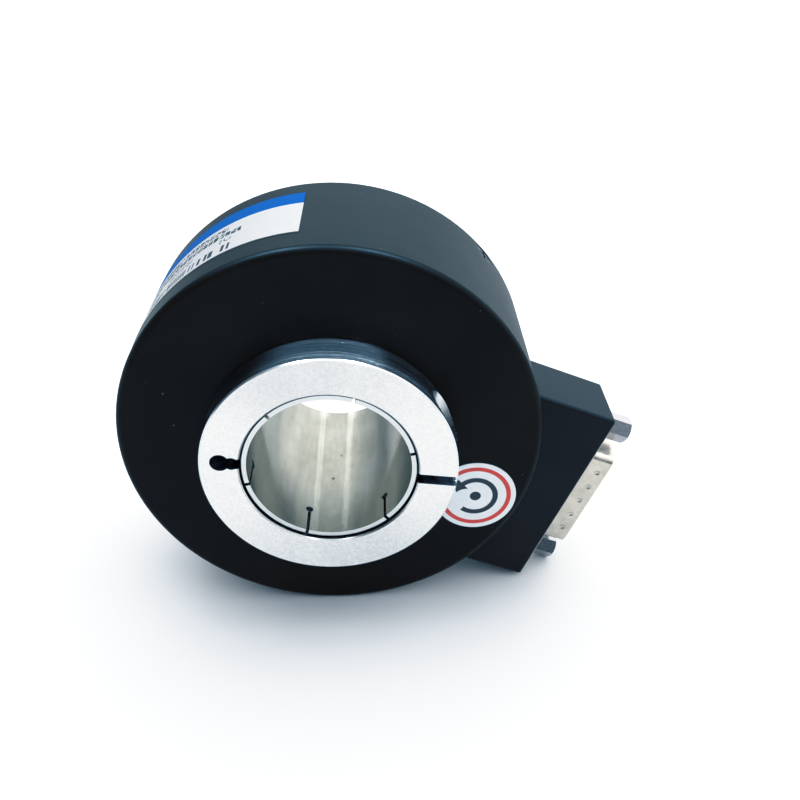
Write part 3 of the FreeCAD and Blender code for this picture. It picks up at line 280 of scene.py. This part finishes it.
def turned_metal(name, shade, gloss, groove, pitch=0.12):
    """Metal off the lathe: fine rings round the shaft, a little tarnish between them."""
    s = Shader(name, Metallic=1.0)
    lines = s.turned_lines(pitch)
    clouds = s.noise(s.place, 0.12, 3.0)
    darker = tuple(0.86 * part for part in shade)
    s.set("Base Color", s.mix(s.fit(s.math("ADD", lines, clouds), 0.75, 1.25), darker, shade))
    s.set("Roughness", s.fit(lines, 0.3, 0.7, gloss * 0.8, gloss * 1.25))
    s.bump(lines, groove)
    s.use_tangent(0.4)
    return s.material


def base_aluminium(name):
    return turned_metal(name, (0.62, 0.63, 0.65), 0.33, 0.006)


def hub_aluminium(name):
    return turned_metal(name, (0.70, 0.71, 0.72), 0.26, 0.004)


def bearing_steel(name):
    return turned_metal(name, (0.60, 0.61, 0.62), 0.12, 0.001, 0.06)


def shaft_steel(name):
    """Honed bore: rings crossed by slanting scratches, with cloudy staining. The ends that face along
    the shaft are painted much lighter than the bore, a painted highlight.
    """
    s = Shader(name, Metallic=1.0)
    rings = s.turned_lines(0.10, 1.2)
    along = s.split(s.place)[1]
    turn = s.math("MULTIPLY", s.angle(), 15.0)
    slant_one = s.join(s.math("MULTIPLY", s.math("ADD", along, turn), 5.0),
                       s.math("MULTIPLY", along, 0.05), turn)
    slant_two = s.join(s.math("MULTIPLY", s.math("SUBTRACT", along, turn), 5.0),
                       s.math("MULTIPLY", along, 0.05), turn)
    hatch = s.math("ADD", s.noise(slant_one, 1.0, 2.0), s.noise(slant_two, 1.0, 2.0))
    stain = s.noise(s.place, 0.11, 4.0, 0.6)
    smear = s.noise(s.stretched(0.3, 0.05, 0.3), 1.0, 3.0, 0.6)
    pits = s.fit(s.cells(s.place, 0.14), 0.035, 0.05, 1.0, 0.0)
    tone = s.math("ADD", stain, smear)
    clean = s.mix(s.fit(tone, 0.75, 1.25), (0.275, 0.265, 0.22), (0.375, 0.37, 0.325))
    bored = s.mix(pits, clean, (0.08, 0.08, 0.07))
    # Ends facing along the shaft painted lighter than the bore: painted highlight.
    s.set("Base Color", s.mix(s.is_flat_end(), bored, (0.66, 0.67, 0.67)))
    worn = s.math("ADD", s.math("MULTIPLY", hatch, 0.5), stain)
    s.set("Roughness", s.fit(worn, 0.7, 1.3, 0.15, 0.21))
    s.bump(s.math("ADD", rings, s.math("MULTIPLY", hatch, 0.4)), 0.0006)
    s.use_tangent(1.0)
    return s.material


def collar_aluminium(name):
    """Faced ends with a fine satin cut; a turned rim with open grooves, its colour darkened and
    tinted blue-grey as a painted reflection; a bore painted near black as painted shade.
    """
    s = Shader(name, Metallic=1.0)
    end = s.is_flat_end()
    rings = s.turned_lines(0.09, 2.0)
    tool = s.turned_lines(0.45, 0.3)
    grooves = s.noise(s.stretched(0.0, 11.0, 0.0), 1.0, 3.0, 0.6)
    nicks = s.fit(s.cells(s.place, 0.35), 0.03, 0.07, 1.0, 0.0)
    frost = s.noise(s.place, 2.4, 4.0, 0.75)
    satin = s.mix(s.fit(frost, 0.4, 0.6), (0.78, 0.78, 0.77), (0.89, 0.89, 0.88))
    # Rim colour: tool lines, darkened and tinted blue-grey as a painted reflection.
    tool_lines_and_painted_reflection = s.mix(s.fit(tool, 0.4, 0.62), (0.28, 0.37, 0.45), (0.60, 0.69, 0.77))
    # Near black within 17.2 mm of the axis: painted shade in the bore.
    bore_painted_shade = s.fit(s.radius(), 17.0, 17.4, 1.0, 0.0)
    rim = s.mix(nicks, s.mix(bore_painted_shade, tool_lines_and_painted_reflection, (0.05, 0.05, 0.055)), (0.95, 0.97, 1.0))
    s.set("Base Color", s.mix(end, rim, satin))
    rim_gloss = s.fit(tool, 0.35, 0.65, 0.11, 0.14)
    face_gloss = s.fit(rings, 0.3, 0.7, 0.28, 0.34)
    s.set("Roughness", s.blend(end, rim_gloss, face_gloss))
    s.bump(s.blend(end, s.math("MULTIPLY", grooves, 56.0), rings), 0.0012)
    s.use_tangent(1.0)
    return s.material


def screw_black(name):
    """Black oxide on steel, rubbed through a little in patches."""
    s = Shader(name, Metallic=0.6)
    rub = s.noise(s.place, 1.6, 4.0, 0.65)
    s.set("Base Color", s.mix(s.fit(rub, 0.58, 0.74), (0.012, 0.013, 0.016), (0.09, 0.095, 0.10)))
    s.set("Roughness", s.fit(rub, 0.3, 0.7, 0.30, 0.48))
    s.bump(s.noise(s.place, 7.0, 2.0), 0.004)
    return s.material


def screw_zinc(name):
    """Zinc plate with a faint yellow and blue passivation."""
    s = Shader(name, Metallic=1.0)
    film = s.noise(s.place, 0.5, 2.0)
    s.set("Base Color", s.mix(s.fit(film, 0.4, 0.6), (0.56, 0.60, 0.68), (0.68, 0.64, 0.52)))
    s.set("Roughness", s.fit(s.noise(s.place, 4.0, 2.0), 0.3, 0.7, 0.22, 0.38))
    s.bump(s.noise(s.place, 9.0, 2.0), 0.002)
    return s.material


def spring_steel(name):
    """Phosphated spring steel: mottled grey crystals with an oily sheen."""
    s = Shader(name, Metallic=0.8)
    crystals = s.cells(s.place, 5.0)
    s.set("Base Color", s.mix(crystals, (0.10, 0.105, 0.11), (0.24, 0.25, 0.26)))
    s.set("Roughness", s.fit(crystals, 0.0, 0.8, 0.32, 0.5))
    s.bump(crystals, 0.002)
    return s.material


def shell_tin(name):
    """Tinned and stamped steel: warm, softly polished, with faint press lines."""
    s = Shader(name, Metallic=1.0)
    press = s.noise(s.stretched(0.35, 4.5, 0.35), 1.0, 3.0, 0.6)
    patches = s.noise(s.place, 0.3, 3.0)
    s.set("Base Color", s.mix(s.fit(s.math("ADD", press, patches), 0.8, 1.2),
                              (0.53, 0.495, 0.43), (0.62, 0.585, 0.52)))
    s.set("Roughness", s.fit(patches, 0.35, 0.65, 0.22, 0.34))
    s.bump(press, 0.0002)
    return s.material


def jack_nickel(name):
    """Bright nickel on drawn hexagon bar, with lines along the bar."""
    s = Shader(name, Metallic=1.0)
    drawn = s.noise(s.stretched(0.6, 6.0, 2.0), 1.0, 3.0, 0.6)
    s.set("Base Color", s.mix(s.fit(drawn, 0.35, 0.65), (0.36, 0.35, 0.36), (0.43, 0.42, 0.43)))
    s.set("Roughness", s.fit(drawn, 0.3, 0.7, 0.15, 0.20))
    s.bump(drawn, 0.0001)
    return s.material


def can_aluminium(name):
    """Capacitor can: brushed sides under a thin clear film."""
    s = Shader(name, Metallic=1.0, Coat_Weight=0.4)
    brushed = s.noise(s.stretched(3.0, 0.3, 3.0), 1.0, 3.0)
    s.set("Base Color", s.mix(brushed, (0.60, 0.61, 0.64), (0.80, 0.81, 0.84)))
    s.set("Roughness", s.fit(brushed, 0.3, 0.7, 0.25, 0.4))
    s.bump(brushed, 0.002)
    return s.material


def pin_gold(name):
    """Gold flash over nickel, thinner and paler where the contacts wipe."""
    s = Shader(name, Metallic=1.0)
    wipe = s.noise(s.stretched(0.6, 1.5, 1.5), 1.0, 3.0)
    s.set("Base Color", s.mix(s.fit(wipe, 0.35, 0.65), (0.83, 0.60, 0.22), (0.90, 0.74, 0.42)))
    s.set("Roughness", s.fit(wipe, 0.3, 0.7, 0.14, 0.26))
    s.bump(wipe, 0.001)
    return s.material


# ---------------------------------------------------------------- plastics, rubber and glass

def moulded(name, dark, light, gloss, grain_depth, grain=4.0):
    """Moulded plastic: spark-eroded grain and faint flow marks."""
    s = Shader(name)
    flow = s.noise(s.stretched(0.25, 0.06, 0.25), 1.0, 3.0)
    skin = s.noise(s.place, grain, 3.0, 0.6)
    s.set("Base Color", s.mix(s.fit(flow, 0.35, 0.65), dark, light))
    s.set("Roughness", s.fit(s.math("ADD", skin, flow), 0.7, 1.3, gloss, gloss + 0.12))
    s.bump(skin, grain_depth)
    return s.material


def cage_nylon(name):
    return moulded(name, (0.50, 0.45, 0.33), (0.60, 0.55, 0.43), 0.42, 0.004)


def seal_rubber(name):
    return moulded(name, (0.012, 0.012, 0.013), (0.022, 0.022, 0.023), 0.62, 0.006, 2.5)


def bracket_plastic(name):
    return moulded(name, (0.020, 0.021, 0.023), (0.034, 0.035, 0.038), 0.45, 0.005)


def chip_black(name):
    return moulded(name, (0.020, 0.020, 0.022), (0.036, 0.036, 0.040), 0.50, 0.003, 8.0)


def header_ivory(name):
    return moulded(name, (0.70, 0.66, 0.55), (0.80, 0.77, 0.67), 0.40, 0.003)


def insulator_black(name):
    return moulded(name, (0.014, 0.014, 0.016), (0.026, 0.026, 0.029), 0.36, 0.003, 5.0)


def ribbon_grey(name):
    """Flat cable: one rib to each conductor, the first one marked red."""
    s = Shader(name)
    pitch = 1.27
    across = s.split(s.place)[2]
    ribs = s.math("ABSOLUTE", s.math("SINE", s.math("MULTIPLY", across, math.pi / pitch)))
    marked = s.fit(across, RIBBON_BOTTOM + pitch, RIBBON_BOTTOM + pitch + 0.05, 1.0, 0.0)
    grey = s.mix(s.noise(s.place, 0.6, 2.0), (0.34, 0.35, 0.37), (0.44, 0.45, 0.47))
    s.set("Base Color", s.mix(marked, grey, (0.50, 0.05, 0.04)))
    s.set("Roughness", s.fit(s.noise(s.place, 3.0, 2.0), 0.3, 0.7, 0.38, 0.52))
    s.bump(ribs, 0.15)
    return s.material


def disc_glass(name):
    """Clear glass with chrome lines: one track of fine rays, and an inner track with one index mark a
    turn.
    """
    s = Shader(name, Transmission_Weight=1.0, IOR=1.5, Alpha=0.85)
    rays = s.fit(s.math("SINE", s.math("MULTIPLY", s.angle(), 512.0)), -0.1, 0.1)
    out = s.radius()
    outer = s.math("MULTIPLY", s.fit(out, 29.0, 29.05), s.fit(out, 31.0, 31.05, 1.0, 0.0))
    inner = s.math("MULTIPLY", s.fit(out, 26.0, 26.05), s.fit(out, 28.0, 28.05, 1.0, 0.0))
    index = s.fit(s.math("ABSOLUTE", s.math("SUBTRACT", s.angle(), 0.7)), 0.02, 0.021, 1.0, 0.0)
    chrome = s.math("MAXIMUM", s.math("MULTIPLY", outer, rays), s.math("MULTIPLY", inner, index))
    s.set("Metallic", chrome)
    s.set("Base Color", s.mix(chrome, (0.88, 0.95, 0.96), (0.30, 0.31, 0.33)))
    s.set("Roughness", s.fit(s.noise(s.place, 0.4, 3.0), 0.3, 0.7, 0.02, 0.07))
    return s.material


def led_epoxy(name):
    """Water-clear epoxy with a blue-grey tint deeper in."""
    s = Shader(name, Transmission_Weight=0.8, IOR=1.54)
    swirl = s.noise(s.place, 0.8, 3.0)
    s.set("Base Color", s.mix(swirl, (0.60, 0.66, 0.80), (0.86, 0.88, 0.93)))
    s.set("Roughness", s.fit(swirl, 0.3, 0.7, 0.05, 0.14))
    s.bump(s.noise(s.place, 3.0, 2.0), 0.002)
    return s.material


def sensor_chip(name):
    """Bare silicon under glass: violet-grey with rows of photodiode cells."""
    s = Shader(name, Coat_Weight=1.0)
    x, _, z = s.split(s.place)
    columns = s.math("SINE", s.math("MULTIPLY", x, 21.0))
    rows = s.math("SINE", s.math("MULTIPLY", z, 9.0))
    diodes = s.fit(s.math("MAXIMUM", columns, rows), 0.75, 0.85)
    s.set("Base Color", s.mix(diodes, (0.055, 0.045, 0.11), (0.36, 0.33, 0.24)))
    s.set("Metallic", s.math("MULTIPLY", diodes, 0.8))
    s.set("Roughness", s.fit(s.noise(s.place, 2.0, 2.0), 0.3, 0.7, 0.12, 0.2))
    return s.material


def board_green(name):
    """Solder mask over copper: traces show as raised lighter lines, with tinned pads."""
    s = Shader(name, Coat_Weight=0.3)
    tracks = s.cells(s.place, 0.42, "DISTANCE_TO_EDGE")
    trace = s.fit(tracks, 0.05, 0.07, 1.0, 0.0)
    vias = s.fit(s.cells(s.place, 0.42), 0.11, 0.13, 1.0, 0.0)
    weave = s.noise(s.place, 3.0, 2.0)
    mask = s.mix(s.fit(weave, 0.35, 0.65), (0.008, 0.075, 0.028), (0.014, 0.105, 0.040))
    routed = s.mix(trace, mask, (0.03, 0.19, 0.075))
    s.set("Base Color", s.mix(vias, routed, (0.62, 0.61, 0.57)))
    s.set("Metallic", vias)
    s.set("Roughness", s.fit(weave, 0.3, 0.7, 0.26, 0.38))
    s.bump(s.math("ADD", trace, s.math("MULTIPLY", vias, 0.6)), 0.03)
    return s.material


# ---------------------------------------------------------------- label and sticker

def in_band(s, value, low, high, soft=0.04):
    """1 between two limits, 0 outside."""
    above = s.fit(value, low, low + soft)
    below = s.fit(value, high - soft, high, 1.0, 0.0)
    return s.math("MULTIPLY", above, below)


def chance(s, value, pitch, seed, share):
    """1 in a random share of the cells that a value is cut into."""
    cell = s.math("FLOOR", s.math("DIVIDE", value, pitch))
    dice = s.new("ShaderNodeTexWhiteNoise", noise_dimensions="2D")
    s.feed(dice.inputs["Vector"], s.join(cell, seed, 0.0))
    return s.math("LESS_THAN", dice.outputs["Value"], share)


def greeked_row(s, along, height, low, high, start, seed, density):
    """A row of print with no letters in it: broken dark marks, in words."""
    row = in_band(s, height, low, high)
    begun = s.fit(along, start, start + 0.04)
    words = chance(s, along, 3.1, seed, 0.8)
    gap = s.math("LESS_THAN", s.math("FRACT", s.math("DIVIDE", along, 1.25)), 0.8)
    step = s.math("FLOOR", s.math("DIVIDE", height, 0.3))
    shifted = s.math("ADD", along, s.math("MULTIPLY", step, 37.0))
    specks = chance(s, shifted, 0.36, seed + 9, density)
    marks = s.math("MULTIPLY", s.math("MULTIPLY", words, gap), specks)
    return s.math("MULTIPLY", s.math("MULTIPLY", row, begun), marks)


def label_paper(name):
    """Coated paper: a blue band at the rear, rows of greeked print and plain bars at the front."""
    s = Shader(name)
    height = s.split(s.place)[1]
    turn = s.math("FLOORED_MODULO", s.angle(), 2 * math.pi)
    along = s.math("MULTIPLY", s.math("SUBTRACT", turn, LABEL_START), HOUSING_RADIUS)
    blue = s.math("GREATER_THAN", height, BAND_FROM)
    field = s.math("MULTIPLY", in_band(s, height, 8.2, 11.0), in_band(s, along, 13.0, 34.0))
    ink = s.math("MULTIPLY", field, chance(s, along, 0.30, 3.0, 0.45))
    for low, high, start, seed, density in (
        (17.6, 19.6, 14.5, 11.0, 0.6),
        (15.0, 17.0, 11.5, 27.0, 0.75),
        (12.4, 14.2, 13.2, 41.0, 0.5),
        (8.2, 10.4, 36.0, 57.0, 0.6),
    ):
        ink = s.math("MAXIMUM", ink, greeked_row(s, along, height, low, high, start, seed, density))
    paper = s.mix(s.noise(s.place, 0.8, 3.0), (0.55, 0.56, 0.57), (0.62, 0.63, 0.64))
    printed = s.mix(ink, paper, (0.045, 0.050, 0.060))
    s.set("Base Color", s.mix(blue, printed, (0.0, 0.13, 0.43)))
    s.set("Specular IOR Level", s.blend(blue, 0.08, 0.01))
    s.set("Roughness", s.fit(s.noise(s.place, 2.5, 2.0), 0.3, 0.7, 0.42, 0.52))
    s.bump(s.noise(s.place, 5.0, 2.0), 0.001)
    return s.material


def sticker_paper(name):
    """White sticker with a red ring round a plain dark turning arrow."""
    s = Shader(name, Coat_Weight=0.2)
    middle = (STICKER_LOW + STICKER_HIGH) / 2
    reach = (STICKER_HIGH.x - STICKER_LOW.x) / 2
    x, _, z = s.split(s.vector("SUBTRACT", s.place, tuple(middle)))
    out = s.vector("LENGTH", s.join(s.math("DIVIDE", x, reach), 0.0, s.math("DIVIDE", z, reach)))
    turn = s.math("ARCTAN2", z, x)
    ring = in_band(s, out, 0.76, 0.88, 0.01)
    arc = s.math("MULTIPLY", in_band(s, out, 0.42, 0.56, 0.01), in_band(s, turn, -2.3, 2.3, 0.02))
    # The head is a wedge that narrows past the arc's end.
    past = s.math("SUBTRACT", turn, 2.25)
    half_width = s.fit(past, 0.0, 0.62, 0.19, 0.0)
    off = s.math("ABSOLUTE", s.math("SUBTRACT", out, 0.49))
    head = s.math("MULTIPLY", s.math("LESS_THAN", off, half_width), s.math("GREATER_THAN", past, 0.0))
    hub = s.fit(out, 0.13, 0.14, 1.0, 0.0)
    dark = s.math("MAXIMUM", s.math("MAXIMUM", arc, head), hub)
    paper = s.mix(s.noise(s.place, 1.2, 3.0), (0.80, 0.81, 0.84), (0.88, 0.89, 0.91))
    inked = s.mix(ring, paper, (0.66, 0.050, 0.018))
    s.set("Base Color", s.mix(dark, inked, (0.010, 0.012, 0.018)))
    s.set("Roughness", s.fit(s.noise(s.place, 2.5, 2.0), 0.3, 0.7, 0.28, 0.40))
    s.bump(s.noise(s.place, 5.0, 2.0), 0.002)
    return s.material


FINISHES = (
    housing_black, box_black, base_aluminium, shaft_steel, collar_aluminium, screw_black,
    screw_zinc, bearing_steel, spring_steel, cage_nylon, seal_rubber, hub_aluminium, disc_glass,
    bracket_plastic, led_epoxy, sensor_chip, board_green, chip_black, can_aluminium,
    header_ivory, ribbon_grey, shell_tin, insulator_black, pin_gold, jack_nickel,
    label_paper, sticker_paper,
)
MATERIALS = {finish.__name__: finish(finish.__name__) for finish in FINISHES}


def dress_nodes():
    """Give each CAD node the material of its record slot."""
    for part in frame["record"]["subparts"]:
        mesh = frame["nodes"][part["node"]].data
        mesh.materials.clear()
        mesh.materials.append(MATERIALS[part["material_slot"]])


# ---------------------------------------------------------------- threads

def thread_mesh(name, radius, depth, pitch, length):
    """Helical ridge of an internal thread, from the mouth at z = 0 down along -Z."""
    steps = 28
    turns = length / pitch
    count = int(turns * steps)
    verts = []
    faces = []
    root = 0.42 * pitch
    crest = 0.06 * pitch
    section = ((0.0, -root), (-depth, -crest), (-depth, crest), (0.0, root))
    for step in range(count + 1):
        turn = 2 * math.pi * step / steps
        fade = min(1.0, step / steps, (count - step) / steps)
        for inward, rise in section:
            reach = radius + inward * fade
            height = -0.5 * pitch - (length - pitch) * step / count + rise * fade
            verts.append((reach * math.cos(turn) * MM, reach * math.sin(turn) * MM, height * MM))
    size = len(section)
    for step in range(count):
        for side in range(size):
            after = (side + 1) % size
            low = step * size
            high = low + size
            faces.append((low + side, low + after, high + after, high + side))
    faces.append(tuple(range(size)))
    faces.append(tuple(count * size + side for side in reversed(range(size))))
    mesh = bpy.data.meshes.new(name)
    mesh.from_pydata(verts, [], faces)
    mesh.validate()
    return mesh


def thread_at(name, mouth, outward, radius, depth, pitch, length, slot):
    """Place a thread's mesh in a hole: mouth is the rim's centre, outward points out of it."""
    mesh = thread_mesh(name, radius, depth, pitch, length)
    turn = Vector(outward).to_track_quat("Z", "Y").to_matrix().to_4x4()
    mesh.transform(Matrix.Translation(Vector(mouth) * MM) @ turn)
    mesh.materials.append(MATERIALS[slot])
    thread = bpy.data.objects.new(name, mesh)
    bpy.context.scene.collection.objects.link(thread)
    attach(thread, "housing")


def cut_threads():
    """Threads in the jackscrew tips and in the four fixing holes of the base."""
    for side in ("upper", "lower"):
        mount = MOUNTS["jackscrew_" + side]
        outward = Vector(mount["axis"])
        length = mount["dims"]["length_mm"]
        mouth = Vector(mount["pos_m"]) / MM + outward * (length / 2 - 0.15)
        thread_at("jack_thread_" + side, mouth, outward, mount["dims"]["r_mm"], 0.26, 0.635,
                  length - 0.4, "jack_nickel")
    pattern = MOUNTS["rear_fixing"]
    for count in range(4):
        turn = FIRST_FIXING + count * math.pi / 2
        reach = pattern["dims"]["pcd_mm"] / 2
        mouth = (reach * math.cos(turn), BASE_BACK - 0.3, reach * math.sin(turn))
        thread_at("fixing_thread_%d" % (count + 1), mouth, SHAFT_AXIS,
                  pattern["dims"]["hole_r_mm"], 0.36, 0.7, 4.4, "base_aluminium")


# ---------------------------------------------------------------- floor, light and camera

def add_floor():
    """Plain pale floor, wide enough to reach past the view on every side."""
    reach = 4000 * MM
    level = FLOOR_LEVEL * MM
    mesh = bpy.data.meshes.new("floor")
    mesh.from_pydata([(-reach, -reach, level), (reach, -reach, level),
                      (reach, reach, level), (-reach, reach, level)], [], [(0, 1, 2, 3)])
    s = Shader("floor_white", Specular_IOR_Level=0.2)
    s.set("Base Color", s.mix(s.noise(s.place, 0.01, 2.0), (0.83, 0.835, 0.84), (0.86, 0.865, 0.87)))
    s.set("Roughness", 0.6)
    mesh.materials.append(s.material)
    floor = bpy.data.objects.new("floor", mesh)
    bpy.context.scene.collection.objects.link(floor)


def add_sky():
    """Soft light from above and behind the part, in front of a plain white backdrop."""
    world = bpy.data.worlds.new("studio")
    world.use_nodes = True
    tree = world.node_tree
    direction = tree.nodes.new("ShaderNodeTexCoord").outputs["Generated"]
    towards = tree.nodes.new("ShaderNodeVectorMath")
    towards.operation = "DOT_PRODUCT"
    tree.links.new(direction, towards.inputs[0])
    towards.inputs[1].default_value = SKY_TOWARDS
    shade = tree.nodes.new("ShaderNodeValToRGB")
    tree.links.new(towards.outputs["Value"], shade.inputs["Fac"])
    shade.color_ramp.elements[0].position = 0.0
    shade.color_ramp.elements[0].color = (*SKY_DIM, 1)
    shade.color_ramp.elements[1].position = 0.7
    shade.color_ramp.elements[1].color = (1, 1, 1, 1)
    light = tree.nodes["Background"]
    tree.links.new(shade.outputs["Color"], light.inputs["Color"])
    light.inputs["Strength"].default_value = SKY_STRENGTH
    backdrop = tree.nodes.new("ShaderNodeBackground")
    backdrop.inputs["Color"].default_value = (1, 1, 1, 1)
    seen = tree.nodes.new("ShaderNodeMixShader")
    tree.links.new(tree.nodes.new("ShaderNodeLightPath").outputs["Is Camera Ray"], seen.inputs[0])
    tree.links.new(light.outputs[0], seen.inputs[1])
    tree.links.new(backdrop.outputs[0], seen.inputs[2])
    tree.links.new(seen.outputs[0], tree.nodes["World Output"].inputs["Surface"])
    bpy.context.scene.world = world


def add_tube(name, tilt, back, length, power):
    """One narrow lamp parallel to the shaft. It makes highlights only, with no shadows."""
    data = bpy.data.lights.new(name, "AREA")
    data.shape = "RECTANGLE"
    data.size = TUBE_WIDTH * MM
    data.size_y = length * MM
    data.energy = power
    data.color = TUBE_COLOUR
    tube = bpy.data.objects.new(name, data)
    tube.location = Vector((TUBE_HEIGHT * math.tan(tilt), back, TUBE_HEIGHT)) * MM
    tube.rotation_euler = (0, tilt, 0)
    tube.visible_diffuse = False
    bpy.context.scene.collection.objects.link(tube)


def add_tubes():
    """Rows of three tubes on each side, seen as streaks in the turned metal."""
    for row, middle_tilt, back, length, power in TUBE_ROWS:
        for side, sign in (("left", -1), ("right", 1)):
            for count in range(3):
                tilt = math.radians(middle_tilt + TUBE_STEP * (count - 1)) * sign
                add_tube("tube_%s_%s_%d" % (row, side, count), tilt, back, length, power)


def add_camera():
    """Camera a little left of straight on, looking down at the part."""
    azimuth = math.radians(0.642)
    elevation = math.radians(32.82)
    roll = math.radians(-1.309)
    aim = Vector((13.168, 0.0, 9.741)) * MM
    forward = Vector((math.sin(azimuth) * math.cos(elevation),
                      math.cos(azimuth) * math.cos(elevation), -math.sin(elevation)))
    level_right = forward.cross(Vector((0, 0, 1))).normalized()
    level_up = level_right.cross(forward)
    right = level_right * math.cos(roll) + level_up * math.sin(roll)
    up = right.cross(forward)
    data = bpy.data.cameras.new("camera")
    data.lens = 39.6
    data.sensor_width = 36
    data.clip_start = 0.005
    data.clip_end = 50
    camera = bpy.data.objects.new("camera", data)
    turn = Matrix((right, up, -forward)).transposed().to_4x4()
    camera.matrix_world = Matrix.Translation(aim - forward * 160.51 * MM) @ turn
    bpy.context.scene.collection.objects.link(camera)
    bpy.context.scene.camera = camera


def set_tones():
    """Plain display response that reaches white on the floor and runs cool in the shadows."""
    view = bpy.context.scene.view_settings
    view.view_transform = "Standard"
    view.look = "None"
    view.use_curve_mapping = True
    cool = view.curve_mapping
    for curve, points in zip(cool.curves, (RED_TONES, GREEN_TONES, BLUE_TONES, ALL_TONES)):
        for place, level in points:
            curve.points.new(place, level)
    cool.update()


add_camera()
dress_nodes()
cut_threads()
add_floor()
add_sky()
add_tubes()
set_tones()
